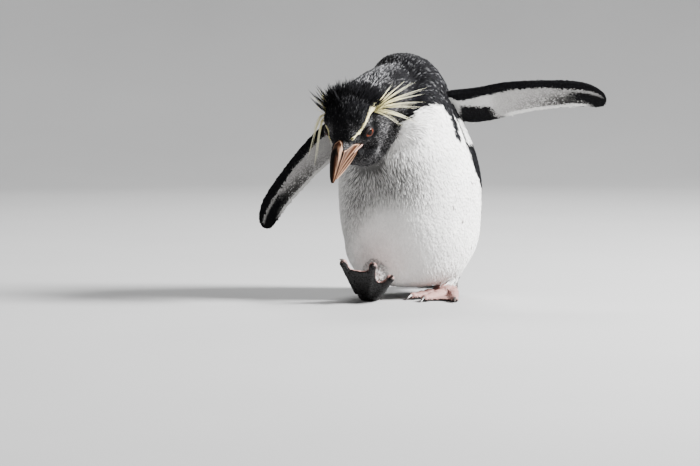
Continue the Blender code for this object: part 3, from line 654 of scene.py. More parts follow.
class Skin:
    """The one skin of the bird, with what the coat needs to know at each of its points."""

    def __init__(self):
        forms = [welded(node, SWELL) for node in FLESH]
        root, way = tail_root()
        forms.append(ball(root + way * RUMP_BACK, RUMP, way.to_track_quat("Y", "Z").to_matrix()))
        forms += [orbit(sign) for _, sign in SIDES]
        mesh = remeshed("skin", forms, SKIN_VOXEL, SKIN_ROUNDS, SKIN_TRIANGLES)
        self.points, self.normals, self.triangles = mesh_arrays(mesh)
        self.kinds = self.nearest_kinds()
        depth = np.array([COAT_DEPTH[part] for part in PARTS])[self.kinds] + SWELL
        self.points -= self.normals * spread(depth, self.triangles, 12)[:, None]
        self.clear_bill()
        self.add_lores()
        self.tree = tree_of(self.points, self.triangles)

    def clear_bill(self):
        """Draws the skin in beside the bill, so that its horn and the gape stand free of the cheeks."""
        ahead, left, up = head_places(self.points).T
        half, keel = (read(BILL_SECTIONS, ahead, k) for k in (4, 3))
        allowed = half - CHEEK_GAP + CHEEK_SLOPE * np.maximum(0, feathered(self.points) + 0.0002)
        beside = ease(-0.007, -0.001, up - keel) * ease(0.0, 0.005, ahead)
        excess = np.maximum(0, np.abs(left) - allowed) * beside
        self.points -= HEAD_AXES[1] * (np.sign(left) * excess)[:, None]

    def add_lores(self):
        """The thin skin that runs forward over the bill's base, to a point below each nostril."""
        points, normals, triangles = bill_surface("bill_upper")
        back = feathered(points)
        kept = (back > -0.0008)[triangles].all(1)
        used = np.unique(triangles[kept])
        place = np.zeros(len(points), np.int64)
        place[used] = np.arange(len(used))
        rise = LORES_RISE - LORES_SINK * ease(0.0009, -0.0002, back)
        self.triangles = np.vstack([self.triangles, place[triangles[kept]] + len(self.points)])
        self.points = np.vstack([self.points, (points + normals * rise[:, None])[used]])
        self.normals = np.vstack([self.normals, normals[used]])
        self.kinds = np.concatenate([self.kinds, np.full(len(used), KIND["head"])])

    def nearest_kinds(self):
        """Which node of flesh each point came from."""
        corners, faces, owners = [], [], []
        for kind, name in enumerate(FLESH):
            points, _, triangles = mesh_arrays(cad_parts[name].data)
            faces.append(triangles + sum(len(c) for c in corners))
            corners.append(points)
            owners.append(np.full(len(triangles), kind))
        owners = np.concatenate(owners)
        tree = tree_of(np.vstack(corners), np.vstack(faces))
        return np.array([owners[tree.find_nearest(p)[2]] for p in self.points])

    def colours(self, points, normals, kinds):
        """(root, tip) colours at places on the skin."""
        root, tip = body_colours(points)
        for which, _ in SIDES:
            on = kinds == KIND["flipper_" + which]
            tip[on] = flipper_colours(which, points[on], normals[on])
            root[on] = tip[on] * FLIPPER_ROOT
            on = kinds == KIND["leg_" + which]
            tip[on] = leg_colours(normals[on])
            root[on] = tip[on] * LEG_ROOT
            on = kinds == KIND["foot_" + which]
            tip[on] = root[on] = foot_colours(normals[on], FOOT_UP[which])
        return root, tip

    def unwrap(self):
        """A smart unwrap of a lighter copy of the skin, which gives the coat its places on the bake map."""
        mesh = bpy.data.meshes.new("unwrap")
        mesh.from_pydata(self.points.tolist(), [], self.triangles.tolist())
        mesh = thinned(mesh, "unwrap", UNWRAP_TRIANGLES / len(self.triangles))
        obj = in_scene("unwrap", mesh)
        bpy.context.view_layer.objects.active = obj
        obj.select_set(True)
        bpy.ops.object.mode_set(mode="EDIT")
        bpy.ops.mesh.select_all(action="SELECT")
        bpy.ops.uv.smart_project(angle_limit=math.radians(60), island_margin=0.006)
        bpy.ops.object.mode_set(mode="OBJECT")
        self.map_points, _, self.map_triangles = mesh_arrays(mesh)
        corners = field_array(mesh.uv_layers.active.data, "uv", 2, np.float32)
        self.map_places = corners[field_array(mesh.loop_triangles, "loops", 3, np.int32)]
        self.map_tree = tree_of(self.map_points, self.map_triangles)
        bpy.data.objects.remove(obj)

    def bake_places(self, roots, patch):
        """Each tuft's patch on the bake map, at its root's place. The patch is about one unit across."""
        return (self.map_at(roots)[:, None] + patch[None] * MAP_PATCH).reshape(-1, 2)

    def map_at(self, points):
        """The place of each point on the unwrap."""
        found = [self.map_tree.find_nearest(p) for p in points]
        faces = np.array([f[2] for f in found])
        spots = array(f[0] for f in found)
        corners = self.map_points[self.map_triangles[faces]]
        a, b = corners[:, 1] - corners[:, 0], corners[:, 2] - corners[:, 0]
        q = spots - corners[:, 0]
        aa, ab, bb = (a * a).sum(1), (a * b).sum(1), (b * b).sum(1)
        qa, qb = (q * a).sum(1), (q * b).sum(1)
        whole = np.maximum(aa * bb - ab * ab, 1e-20)
        v, w = (bb * qa - ab * qb) / whole, (aa * qb - ab * qa) / whole
        share = np.clip(np.stack([1 - v - w, v, w], 1), 0, 1)
        return (self.map_places[faces] * share[:, :, None]).sum(1)


# Coat

# A feather as (share of its length, share of its half width, share of its lift)
VANE = np.array([
    (0.00, -0.35, 0.0), (0.00, 0.35, 0.0),
    (0.38, -0.95, 0.30), (0.38, 0.00, 0.46), (0.38, 0.95, 0.30),
    (0.74, -0.88, 0.66), (0.74, -0.30, 0.82), (0.74, 0.30, 0.82), (0.74, 0.88, 0.66),
    (0.93, -0.62, 0.88), (1.00, 0.03, 1.00), (0.91, 0.60, 0.86),
])
VANE_FACES = np.array([
    (0, 2, 3), (0, 3, 1), (1, 3, 4), (2, 5, 6), (2, 6, 3), (3, 6, 7), (3, 7, 4), (4, 7, 8),
    (5, 9, 6), (6, 10, 7), (7, 11, 8),
])
# A scale of a foot or a flipper, with a round end
SCALE = np.array([
    (0.00, -0.6, 0.0), (0.00, 0.6, 0.0),
    (0.45, -1.0, 0.55), (0.45, 0.0, 1.1), (0.45, 1.0, 0.55),
    (0.86, -0.62, 0.75), (1.0, 0.0, 0.85), (0.86, 0.62, 0.75),
])
SCALE_FACES = np.array([(0, 2, 3), (0, 3, 1), (1, 3, 4), (2, 5, 3), (3, 5, 6), (3, 6, 7), (3, 7, 4)])

# Coat by part and by place: spacing, length, width and lift of its feathers, in millimetres
COAT = {
    "trunk": (1.45, 9.0, 2.3, 1.15),
    "neck": (1.25, 8.0, 1.7, 1.25),
    "head": (1.05, 5.0, 1.1, 1.0),
    "leg": (1.25, 7.5, 1.3, 1.5),
    "foot": (1.45, 2.3, 1.9, 0.28),
    "flipper": (1.02, 2.7, 1.6, 0.34),
}
FACE_COAT = (0.88, 3.5, 1.15, 0.60)
CROWN_COAT = (1.10, 8.0, 0.95, 1.60)
STREAK_COAT = (1.12, 14.0, 0.62, 1.45)
SMOOTH_COAT = (1.45, 9.5, 3.00, 0.75)
LOW_COAT = (1.40, 12.0, 1.50, 1.90)
PIT_COAT = (1.30, 9.0, 1.30, 2.40)
# Where these coats fade out and in
CROWN_COAT_EDGE, CROWN_COAT_BACK, CROWN_COAT_FRONT = (0.006, 0.014), (-0.060, -0.050), (0.026, -0.012)
FACE_COAT_BACK = (-0.050, -0.034)
LOW_COAT_HEIGHT = (0.052, 0.022)
# Feathers grow shorter and narrower by these shares towards the bill
BILL_SHORTER, BILL_NARROWER, BILL_SIDE = 0.35, 0.15, (-0.020, 0.016)
# How much one feather differs from the next: in the way it points, its length, its lift and its tip
SPIN, LENGTH_SPREAD, LIFT_SPREAD, TIP_SPREAD = 0.12, 0.16, 0.22, 0.10
DARK_SPREAD, WHITE_SPREAD = 0.30, 0.10  # the same for its tone
BEND_LIMIT = 0.6  # the most that a feather bends down to the skin, as a share of its length
CANDIDATES = 3.2  # places tried in each square of the spacing
ROOT_DEPTH = 0.0004  # how deep the feathers' roots lie in the skin
LID_RADIUS = 0.0054  # bare skin round the eye
LID_REACH = (-0.002, 0.012)  # how far along the eye's axis it is kept bare
FRONT_ANGLE, LOW_HEIGHT = 88, 0.118  # where the pieces of the trunk's coat meet
SOLE_HEIGHT = 0.0012
# The edge of the feathers on the bill's side: (height from cutting edge to ridge, how far ahead)
FEATHER_LINE = np.array([
    (-0.20, 0.0067), (0.0, 0.0085), (0.15, 0.0115), (0.26, 0.0137), (0.42, 0.0172), (0.51, 0.0240),
    (0.586, 0.0295), (0.70, 0.0325), (0.76, 0.0340), (0.82, 0.0326), (0.944, 0.0277), (1.0, 0.0215),
    (1.30, 0.0200),
])


def coat_measures(points, kinds):
    """Spacing, length, width and lift of the feather at each place, in metres."""
    table = np.array([COAT[part] for part in PARTS])[kinds]
    ahead, _, up = head_places(points).T
    on_trunk = kinds == KIND["trunk"]
    on_legs = (kinds == KIND["leg_left"]) | (kinds == KIND["leg_right"])
    white = 1 - dark_share(points)
    crown = ease(*CROWN_COAT_EDGE, up - 0.30 * ahead) * ease(*CROWN_COAT_BACK, ahead)
    face = face_share(points) * ease(*FACE_COAT_BACK, ahead) * (1 - crown)
    above = on_trunk | (kinds == KIND["neck"]) | (kinds == KIND["head"])
    for share, looks in (
        (white * on_trunk, SMOOTH_COAT),
        (parting_and_shade_share(points) * on_trunk, STREAK_COAT),
        (ease(*LOW_COAT_HEIGHT, points[:, 2]) * (on_trunk | on_legs), LOW_COAT),
        (wing_pit(points) * on_trunk, PIT_COAT),
        (face * above, FACE_COAT),
        (crown * ease(*CROWN_COAT_FRONT, ahead) * above, CROWN_COAT),
    ):
        table = mix(table, np.array(looks), share)
    small = ease(*BILL_SIDE, ahead) * face_share(points) * above
    table[:, 1] *= 1 - BILL_SHORTER * small
    table[:, 2] *= 1 - BILL_NARROWER * small
    return tuple((table / 1000).T.copy())


def scattered(skin, rng):
    """Places over the whole skin, no two nearer than the spacing there."""
    corners = skin.points[skin.triangles]
    area = np.linalg.norm(face_normals(corners), axis=1) / 2
    kinds = skin.kinds[skin.triangles[:, 0]]
    spacing, _, _, _ = coat_measures(corners.mean(1), kinds)
    count = rng.poisson(CANDIDATES * area / spacing**2)
    faces = np.repeat(np.arange(len(area)), count)
    rng.shuffle(faces)
    u, v = rng.random(len(faces)), rng.random(len(faces))
    over = u + v > 1
    u[over], v[over] = 1 - u[over], 1 - v[over]
    c = corners[faces]
    points = c[:, 0] + (c[:, 1] - c[:, 0]) * u[:, None] + (c[:, 2] - c[:, 0]) * v[:, None]
    n = skin.normals[skin.triangles[faces]]
    normals = unit(n[:, 0] * (1 - u - v)[:, None] + n[:, 1] * u[:, None] + n[:, 2] * v[:, None])
    kinds = kinds[faces]
    gap, _, _, _ = coat_measures(points, kinds)
    free = ~bare(points, kinds)
    tree = KDTree(len(points))
    for i, p in enumerate(points):
        tree.insert(p, i)
    tree.balance()
    kept = []
    for i in range(len(points)):
        if free[i]:
            kept.append(i)
            for _, j, _ in tree.find_range(points[i], gap[i]):
                free[j] = False
    return points[kept], normals[kept], kinds[kept]


def feathered(points):
    """How far behind the feathers' edge each place of the bill lies, in metres."""
    ahead, _, up = head_places(points).T
    ridge, edge = (read(BILL_SECTIONS, ahead, k) for k in (1, 2))
    height = (up - edge) / np.maximum(ridge - edge, 0.002)
    return read(FEATHER_LINE, height) - ahead


def bare(points, kinds):
    """True where no feather grows: round the eyes, along the bill, and on the soles."""
    found = np.zeros(len(points), bool)
    for which, sign in SIDES:
        from_eye = points - np.array(eye_at(sign))
        axis = np.array(eye_axis(sign))
        outward = from_eye @ axis
        aside = np.linalg.norm(from_eye - outward[:, None] * axis, axis=1)
        found |= (aside < LID_RADIUS) & (outward > LID_REACH[0]) & (outward < LID_REACH[1])
        found |= np.linalg.norm(from_eye, axis=1) < EYE_RADIUS + 0.0008
        found |= (kinds == KIND["foot_" + which]) & (points[:, 2] < SOLE_HEIGHT)
    ahead, left, up = head_places(points).T
    half, keel = (read(BILL_SECTIONS, ahead, k) for k in (4, 3))
    on_bill = (np.abs(left) < half + 0.0006) & (up > keel - 0.0005) & (ahead < 0.07) & (ahead > 0.006)
    return found | (on_bill & (feathered(points) < 0.0002))


def varied(values, spread_by, rng):
    """Values that each differ at random, by up to twice this share."""
    return values * (1 + spread_by * rng.normal(0, 1, values.shape).clip(-2, 2))


def feathers(name, skin, points, normals, shape, faces, measures, colours, ways, tone, rng):
    """One piece of many feathers, each bent to follow the skin."""
    length, width, lift = (m[:, None] for m in measures)
    count = len(points)
    spin = rng.normal(0, SPIN, count)[:, None]
    across = np.cross(normals, ways)
    ways = unit(ways * np.cos(spin) + across * np.sin(spin))
    across = np.cross(normals, ways)
    length = varied(length, LENGTH_SPREAD, rng)
    lift = varied(lift, LIFT_SPREAD, rng)
    ends = points + ways * length
    drop = array(skin.tree.find_nearest(p)[0] for p in ends) - ends
    far = np.maximum(np.linalg.norm(drop, axis=1, keepdims=True), 1e-9)
    drop = drop * np.minimum(1, BEND_LIMIT * length / far)
    s, w, h = shape.T
    jag = 1 + TIP_SPREAD * rng.normal(0, 1, (count, len(s))) * (s > 0.85)
    place = points[:, None] - normals[:, None] * (ROOT_DEPTH * (1 - s) ** 3)[None, :, None]
    place = place + ways[:, None] * (length * s * jag)[..., None]
    place = place + across[:, None] * (width / 2 * w)[..., None]
    place = place + normals[:, None] * (lift * h)[..., None] + drop[:, None] * (s**2)[None, :, None]
    place[..., 2] = np.maximum(place[..., 2], FLOOR_GAP)
    root, tip = colours
    share = ease(0.25, 0.85, s)[None, :, None]
    shade = (root[:, None] * (1 - share) + tip[:, None] * share) * tone[:, None, None]
    triangles = (faces[None] + (np.arange(count) * len(s))[:, None, None]).reshape(-1, 3)
    bake = skin.bake_places(points, np.stack([s - 0.5, w * 0.5], 1))
    barbs = np.stack([s, w * 0.5 + 0.5], 1)[None] + rng.random((count, 1, 2)) * 9
    maps = {"OFBake": bake, "Barbs": barbs.reshape(-1, 2)}
    return new_piece(name, place.reshape(-1, 3), triangles, shade.reshape(-1, 3), maps)


def coat_groups(points, kinds):
    """The name of the coat piece that each feather belongs to."""
    angle, height, _ = trunk_places(points)
    front, low = angle < FRONT_ANGLE, height < LOW_HEIGHT
    names = np.where(front, "coat_breast", "coat_back").astype(object)
    names[front & low] = "coat_belly"
    names[~front & low] = "coat_rump"
    names[kinds == KIND["neck"]] = "coat_neck"
    names[kinds == KIND["head"]] = "coat_head"
    for which, _ in SIDES:
        names[kinds == KIND["flipper_" + which]] = "coat_flipper_" + which
        names[kinds == KIND["leg_" + which]] = "coat_legs"
        names[kinds == KIND["foot_" + which]] = "foot_scales"
    return names


def build_coat(skin):
    """The pieces of the coat, by name."""
    points, normals, kinds = scattered(skin, RANDOM)
    _, length, width, lift = coat_measures(points, kinds)
    ways = lie(points, normals, kinds)
    root, tip = skin.colours(points, normals, kinds)
    dark = tip.mean(1) < 0.2
    dark_tone = np.exp(RANDOM.normal(0, DARK_SPREAD, len(points)))
    tone = np.where(dark, dark_tone, 1 - WHITE_SPREAD * RANDOM.random(len(points)))
    groups = coat_groups(points, kinds)
    pieces = {}
    for name in sorted(set(groups)):
        on = groups == name
        flat = name.startswith(("coat_flipper", "foot"))
        shape, faces = (SCALE, SCALE_FACES) if flat else (VANE, VANE_FACES)
        pieces[name] = feathers(
            name, skin, points[on], normals[on], shape, faces,
            (length[on], width[on], lift[on]), (root[on], tip[on]), ways[on], tone[on], RANDOM,
        )
    return pieces


# Materials


class Nodes:
    """A material's node tree, with short ways to add to it."""

    def __init__(self, name):
        self.material = bpy.data.materials.new(name)
        self.material.use_nodes = True
        self.tree = self.material.node_tree
        self.shader = self.tree.nodes["Principled BSDF"]

    def add(self, kind, **values):
        node = self.tree.nodes.new(kind)
        for key, value in values.items():
            if key in node.inputs:
                node.inputs[key].default_value = value
            else:
                setattr(node, key, value)
        return node

    def link(self, out, into):
        self.tree.links.new(out, into)

    def set(self, **values):
        for key, value in values.items():
            self.shader.inputs[key.replace("_", " ")].default_value = value

    def surface(self, colour, roughness):
        self.link(colour, self.shader.inputs["Base Color"])
        self.link(roughness, self.shader.inputs["Roughness"])

    def noise(self, place, scale, detail):
        noise = self.add("ShaderNodeTexNoise", Scale=scale, Detail=detail)
        self.link(place, noise.inputs["Vector"])
        return noise.outputs["Fac"]

    def stretched(self, place, scale):
        mapping = self.add("ShaderNodeMapping", Scale=scale)
        self.link(place, mapping.inputs["Vector"])
        return mapping.outputs["Vector"]

    def object_noise(self, scale, detail=4.0, stretch=None):
        """Noise over the object's own coordinates."""
        place = self.add("ShaderNodeTexCoord").outputs["Object"]
        return self.noise(self.stretched(place, stretch) if stretch else place, scale, detail)

    def ranged(self, value, low, high):
        """A noise's usual values, 0.3 to 0.7, stretched from low to high."""
        node = self.add("ShaderNodeMapRange")
        for key, number in (("From Min", 0.3), ("From Max", 0.7), ("To Min", low), ("To Max", high)):
            node.inputs[key].default_value = number
        self.link(value, node.inputs["Value"])
        return node.outputs["Result"]

    def ramp(self, value, low, high, start=0.0, end=1.0):
        """The colour between low and high, for a value from start to end."""
        node = self.add("ShaderNodeValToRGB")
        for stop, place, colour in zip(node.color_ramp.elements, (start, end), (low, high)):
            stop.position = place
            stop.color = (*colour, 1)
        self.link(value, node.inputs["Fac"])
        return node.outputs["Color"]

    def times(self, colour, factor):
        """A colour made lighter or darker by a factor."""
        node = self.add("ShaderNodeVectorMath", operation="SCALE")
        self.link(colour, node.inputs[0])
        self.link(factor, node.inputs["Scale"])
        return node.outputs["Vector"]

    def bump(self, height, strength, distance):
        node = self.add("ShaderNodeBump", Strength=strength, Distance=distance)
        self.link(height, node.inputs["Height"])
        self.link(node.outputs["Normal"], self.shader.inputs["Normal"])

    def painted(self):
        """The colour that the mesh carries at its points."""
        return self.add("ShaderNodeAttribute", attribute_name="Colour").outputs["Color"]


def feather_material(name, roughness, gloss):
    """Barbs run outward from the shaft, with a fine break-up of tone from feather to feather."""
    nodes = Nodes(name)
    uv = nodes.add("ShaderNodeUVMap", uv_map="Barbs").outputs["UV"]
    barbs = nodes.noise(nodes.stretched(uv, (3.0, 30.0, 1.0)), 1.6, 3.0)
    streak = nodes.ranged(barbs, 0.80, 1.12)
    cloud = nodes.ranged(nodes.object_noise(55.0), 0.92, 1.05)
    colour = nodes.times(nodes.times(nodes.painted(), streak), cloud)
    nodes.surface(colour, nodes.ranged(barbs, roughness + 0.10, roughness - 0.08))
    nodes.bump(barbs, 0.35, 0.0002)
    nodes.set(Specular_IOR_Level=gloss)
    return nodes.material


def skin_material():
    """Matt skin with a fine grain, in the colours of the feathers' roots."""
    nodes = Nodes("penguin_skin")
    grain = nodes.object_noise(900.0, 3.0)
    colour = nodes.times(nodes.painted(), nodes.ranged(grain, 0.75, 1.1))
    nodes.surface(colour, nodes.ranged(grain, 0.75, 0.5))
    nodes.bump(grain, 0.4, 0.0004)
    nodes.set(Specular_IOR_Level=0.12)
    return nodes.material


def horn_material():
    """Horn laid down in lengthwise fibres, with fine scratches over them."""
    nodes = Nodes("bill_horn")
    fibre = nodes.object_noise(160.0, 5.0, (1.0, 0.35, 0.35))
    fine = nodes.object_noise(1400.0, 2.0)
    colour = nodes.times(nodes.painted(), nodes.ranged(fibre, 0.72, 1.15))
    colour = nodes.times(colour, nodes.ranged(fine, 0.9, 1.06))
    nodes.surface(colour, nodes.ranged(fibre, 0.60, 0.42))
    nodes.bump(fine, 0.25, 0.0002)
    nodes.set(Specular_IOR_Level=0.08)
    return nodes.material


def eye_material():
    """A wet surface over the painted iris."""
    nodes = Nodes("eye")
    ring = nodes.object_noise(1500.0, 3.0)
    colour = nodes.times(nodes.painted(), nodes.ranged(ring, 0.75, 1.2))
    nodes.surface(colour, nodes.ranged(ring, 0.10, 0.06))
    nodes.set(Specular_IOR_Level=0.10, Coat_Weight=0.05, Coat_Roughness=0.02)
    return nodes.material


def claw_material():
    """Near-black horn, paler along its fibres."""
    nodes = Nodes("claw_horn")
    fibre = nodes.object_noise(420.0, 4.0, (1.0, 0.3, 1.0))
    colour = nodes.ramp(fibre, (0.012, 0.010, 0.010), (0.075, 0.060, 0.052), 0.35, 0.75)
    nodes.surface(colour, nodes.ranged(fibre, 0.45, 0.28))
    nodes.bump(fibre, 0.3, 0.0002)
    return nodes.material


def floor_material():
    nodes = Nodes("floor")
    colour = nodes.ramp(nodes.object_noise(3.0, 2.0), (0.31, 0.31, 0.31), (0.345, 0.345, 0.345))
    nodes.link(colour, nodes.shader.inputs["Base Color"])
    nodes.set(Roughness=0.9, Specular_IOR_Level=0.1)
    return nodes.material


def wear(piece, material, slot, *nodes):
    """Gives a piece its material and the body it rides on, and hides the nodes it stands for; the slot is
    not used.
    """
    piece.data.materials.append(material)
    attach(piece, "root")
    if nodes:
        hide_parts(*nodes)


# Stage

CAMERA_TURN = math.radians(18)
CAMERA_RISE = math.radians(4)
CAMERA_LENS, CAMERA_SENSOR = 135.0, 36.0
CAMERA_NEAR, CAMERA_FAR = 0.05, 50
FRAME_WIDTH = 0.770  # what the picture spans at the bird
AIM = (-0.0909, -0.0130, 0.0691)  # the middle of the picture: the bird walks towards its lower left
# The lamps: (name, place, size, power)
LAMPS = (
    ("key", (2.05, 0.10, 1.50), 0.8, 480),
    ("fill", (-1.9, -1.6, 0.9), 1.4, 2.0),
    ("rim", (-0.5, 1.5, 2.1), 1.0, 85),
)
LAMP_AIM = (-0.03, 0, 0.14)
SKY_COLOUR, SKY_STRENGTH = (0.9, 0.92, 1.0, 1), 0.13
# The floor's outline: how far it is flat, the radius of its curve, and the backdrop's height
FLOOR_FLAT, FLOOR_CURVE, BACKDROP_HEIGHT = 2.4, 1.6, 4.0
FLOOR_SIDES, CURVE_STEPS = 96, 12


def facing(obj, place, way):
    """Puts a camera or a lamp at a place, looking a certain way."""
    obj.location = place
    obj.rotation_euler = way.to_track_quat("-Z", "Y").to_euler()


def add_camera():
    data = bpy.data.cameras.new("camera")
    data.lens, data.sensor_width = CAMERA_LENS, CAMERA_SENSOR
    data.clip_start, data.clip_end = CAMERA_NEAR, CAMERA_FAR
    camera = in_scene("camera", data)
    a, e = CAMERA_TURN, CAMERA_RISE
    back = Vector((math.sin(a) * math.cos(e), -math.cos(a) * math.cos(e), math.sin(e)))
    facing(camera, Vector(AIM) + back * (FRAME_WIDTH * CAMERA_LENS / CAMERA_SENSOR), -back)
    bpy.context.scene.camera = camera


def add_lamp(name, place, size, power):
    data = bpy.data.lights.new(name, "AREA")
    data.shape, data.size, data.energy = "DISK", size, power
    facing(in_scene(name, data), place, Vector(LAMP_AIM) - Vector(place))


def add_floor():
    """A pale floor that curves up into a backdrop all round, open above."""
    bm = bmesh.new()
    profile = [(FLOOR_FLAT / 2, 0.0), (FLOOR_FLAT, 0.0)]
    for k in range(1, CURVE_STEPS + 1):
        turn = math.pi / 2 * k / CURVE_STEPS
        profile.append((FLOOR_FLAT + FLOOR_CURVE * math.sin(turn), FLOOR_CURVE * (1 - math.cos(turn))))
    profile.append((FLOOR_FLAT + FLOOR_CURVE, BACKDROP_HEIGHT))
    centre = bm.verts.new((0, 0, 0))
    turns = [2 * math.pi * k / FLOOR_SIDES for k in range(FLOOR_SIDES)]
    rings = [[bm.verts.new((r * math.cos(t), r * math.sin(t), z)) for t in turns] for r, z in profile]
    for k in range(FLOOR_SIDES):
        after = (k + 1) % FLOOR_SIDES
        bm.faces.new((centre, rings[0][k], rings[0][after]))
        for low, high in zip(rings, rings[1:]):
            bm.faces.new((low[k], high[k], high[after], low[after]))
    mesh = finished(bm, "floor")
    mesh.shade_smooth()
    mesh.materials.append(floor_material())
    floor = in_scene("floor", mesh)


def build_stage():
    add_floor()
    add_camera()
    for lamp in LAMPS:
        add_lamp(*lamp)
    world = bpy.data.worlds.new("studio")
    world.use_nodes = True
    background = world.node_tree.nodes["Background"]
    background.inputs["Color"].default_value = SKY_COLOUR
    background.inputs["Strength"].default_value = SKY_STRENGTH
    bpy.context.scene.world = world


# Eyes and lids

# Angles off the eye's axis
PUPIL = math.radians(22)
IRIS = math.radians(49)
LID_OPEN, LID_OUTER = math.radians(40), math.radians(86)
FROWN, ALMOND, LOWER_LID = math.radians(19), math.radians(2), math.radians(8)
FROWN_TURN = math.radians(75)  # where round the eye the upper lid hangs lowest

EYE_INSET = 0.0004  # the eyeball is smaller than the frame's by this, to lie behind the lids
CORNEA, CORNEA_ANGLE = 0.00055, 0.72  # how far it stands out, and how far it reaches
# The lids' edge and their two folds: (height, share of the way outward, width)
BEAD, FOLD, OUTER_FOLD = (0.00032, 0.07, 0.055), (0.00050, 0.34, 0.10), (0.00025, 0.62, 0.10)
CRINKLE, GRANULE = 0.00009, 0.00010
LID_RISE, LID_SINK = 0.00015, 0.0038  # over the eye, and under the feathers at the lids' outer edge
EYE_BLACK = 0.002
IRIS_DARK = np.array((0.060, 0.012, 0.006))
IRIS_RED = np.array((0.48, 0.110, 0.050))
EYE_RIM = np.array((0.010, 0.006, 0.006))
LID_SKIN = np.array((0.0065, 0.0055, 0.0055))
LID_EDGE = np.array((0.030, 0.022, 0.021))


def axes_round(axis):
    """Two directions square to an axis: towards the bill, and up."""
    front = (AHEAD - axis * AHEAD.dot(axis)).normalized()
    above = axis.cross(front)
    return front, above if above.dot(UP) > 0 else -above


def round_grid(rows, columns, end):
    """A share from 0 to end down the rows of a grid, and a turn round its columns."""
    turn = np.linspace(0, 2 * math.pi, columns, endpoint=False)
    return np.linspace(0, end, rows)[:, None] * np.ones(columns), np.ones(rows)[:, None] * turn


def grid_faces(rows, columns, closed):
    """Triangles over a grid of points, whose rows close on themselves if asked."""
    faces = []
    for i in range(rows - 1):
        for j in range(columns if closed else columns - 1):
            a, b = i * columns + j, i * columns + (j + 1) % columns
            faces += [(a, b, b + columns), (a, b + columns, a + columns)]
    return np.array(faces)


def shell_faces(points, rows, columns, centre):
    """Triangles over a grid of points closed round its rows, which look away from the centre."""
    faces = grid_faces(rows, columns, True)
    corners = points[faces]
    outward = ((corners.mean(1) - centre) * face_normals(corners)).sum()
    return faces if outward > 0 else faces[:, ::-1]


def on_eye(sign, off_axis, turn, radius):
    """Points at an angle off the eye's axis, a turn round it and a radius, all of them grids."""
    axis = eye_axis(sign)
    axis, front, above = array([axis, *axes_round(axis)])
    off_axis, turn, radius = off_axis.reshape(-1, 1), turn.reshape(-1, 1), radius.reshape(-1, 1)
    ring = np.cos(turn) * front + np.sin(turn) * above
    return np.array(eye_at(sign)) + (np.cos(off_axis) * axis + np.sin(off_axis) * ring) * radius


def build_eye(which, sign):
    """A wet eyeball with a round pupil, a fibred red-brown iris and a dark rim."""
    rows, columns = 72, 96
    off, turn = round_grid(rows, columns, math.pi)
    cornea = CORNEA * np.exp(-((off / CORNEA_ANGLE) ** 4))
    points = on_eye(sign, off, turn, EYE_RADIUS - EYE_INSET + cornea)
    off, turn = off.ravel(), turn.ravel()
    fibre = 0.5 + 0.5 * np.sin(turn * 41 + 3 * np.sin(turn * 7)) * np.cos(turn * 17)
    share = (off - PUPIL) / (IRIS - PUPIL)
    iris = mix(IRIS_DARK, IRIS_RED, ease(0, 0.9, share) * (0.65 + 0.35 * fibre))
    colour = mix(np.full(3, EYE_BLACK), iris, ease(-0.05, 0.05, share))
    colour = mix(colour, EYE_RIM, ease(0.88, 1.02, share))
    colour = colour * (0.18 + 0.82 * ease(0.35, -0.45, np.sin(turn)))[:, None]  # in the upper lid's shade
    faces = shell_faces(points, rows, columns, points.mean(0))
    return welded_poles(new_piece("eyeball_" + which, points, faces, colour))


def welded_poles(piece):
    """The piece with the rings of points at its poles made one point each."""
    bm = bmesh.new()
    bm.from_mesh(piece.data)
    bmesh.ops.remove_doubles(bm, verts=bm.verts, dist=1e-6)
    bm.to_mesh(piece.data)
    bm.free()
    return piece


def lid_arrays(sign):
    """Bare dark lids round an eye: a beaded edge and two soft folds that sink under the feathers."""
    rows, columns = 26, 112
    q, turn = round_grid(rows, columns, 1)  # q is the share of the way outward
    frown = FROWN * np.maximum(0, np.cos(turn - FROWN_TURN)) ** 1.3
    opening = LID_OPEN - frown + ALMOND * np.cos(2 * turn) + LOWER_LID * np.maximum(0, -np.sin(turn))
    off = opening + (LID_OUTER - opening) * q
    bead, fold, outer = (high * line(q, place, width) for high, place, width in (BEAD, FOLD, OUTER_FOLD))
    fold = fold * (1 + 0.6 * np.sin(turn))
    crinkle = CRINKLE * np.sin(turn * 37 + 4 * q) * np.sin(q * 21) * ease(0.1, 0.3, q)
    granule = GRANULE * np.sin(turn * 56) * line(q, 0.09, 0.06)
    sink = -LID_SINK * ease(0.22, 1.0, q) - 0.00045 * ease(0.05, 0.0, q)
    points = on_eye(sign, off, turn, EYE_RADIUS + LID_RISE + bead + fold + outer + crinkle + granule + sink)
    q = q.ravel()
    colour = mix(LID_SKIN, LID_EDGE, line(q, 0.07, 0.06) + 0.35 * line(q, 0.37, 0.07))
    return points, shell_faces(points, rows, columns, np.array(eye_at(sign))), colour


# Bill

HORN = np.array((0.028, 0.0090, 0.0034))
# Pale of the plates' own edges and of the bare rim, also used for painted highlights
HORN_PALE = np.array((0.48, 0.29, 0.19))
# The near-black painted into the bill's grooves, nostril slit and mouth line, and onto its right side, as
# shade
HORN_SHADE = np.array((0.003, 0.0015, 0.001))


HORN_START, HORN_LENGTH = 0.010, 0.054  # the stretch of the bill that its pattern is laid over
NOSTRIL_AHEAD = 0.0375
# Heights of the horn's relief
PLATE, CULMEN, UPPER_GROOVE, UPPER_CREASE, NOSTRIL, LIP = 0.00045, 0.00025, 0.00070, 0.00020, 0.0009, 0.00025
LOWER_KEEL, LOWER_EDGE, LOWER_GROOVE, GROWTH = 0.00035, 0.00025, 0.00060, 0.00001


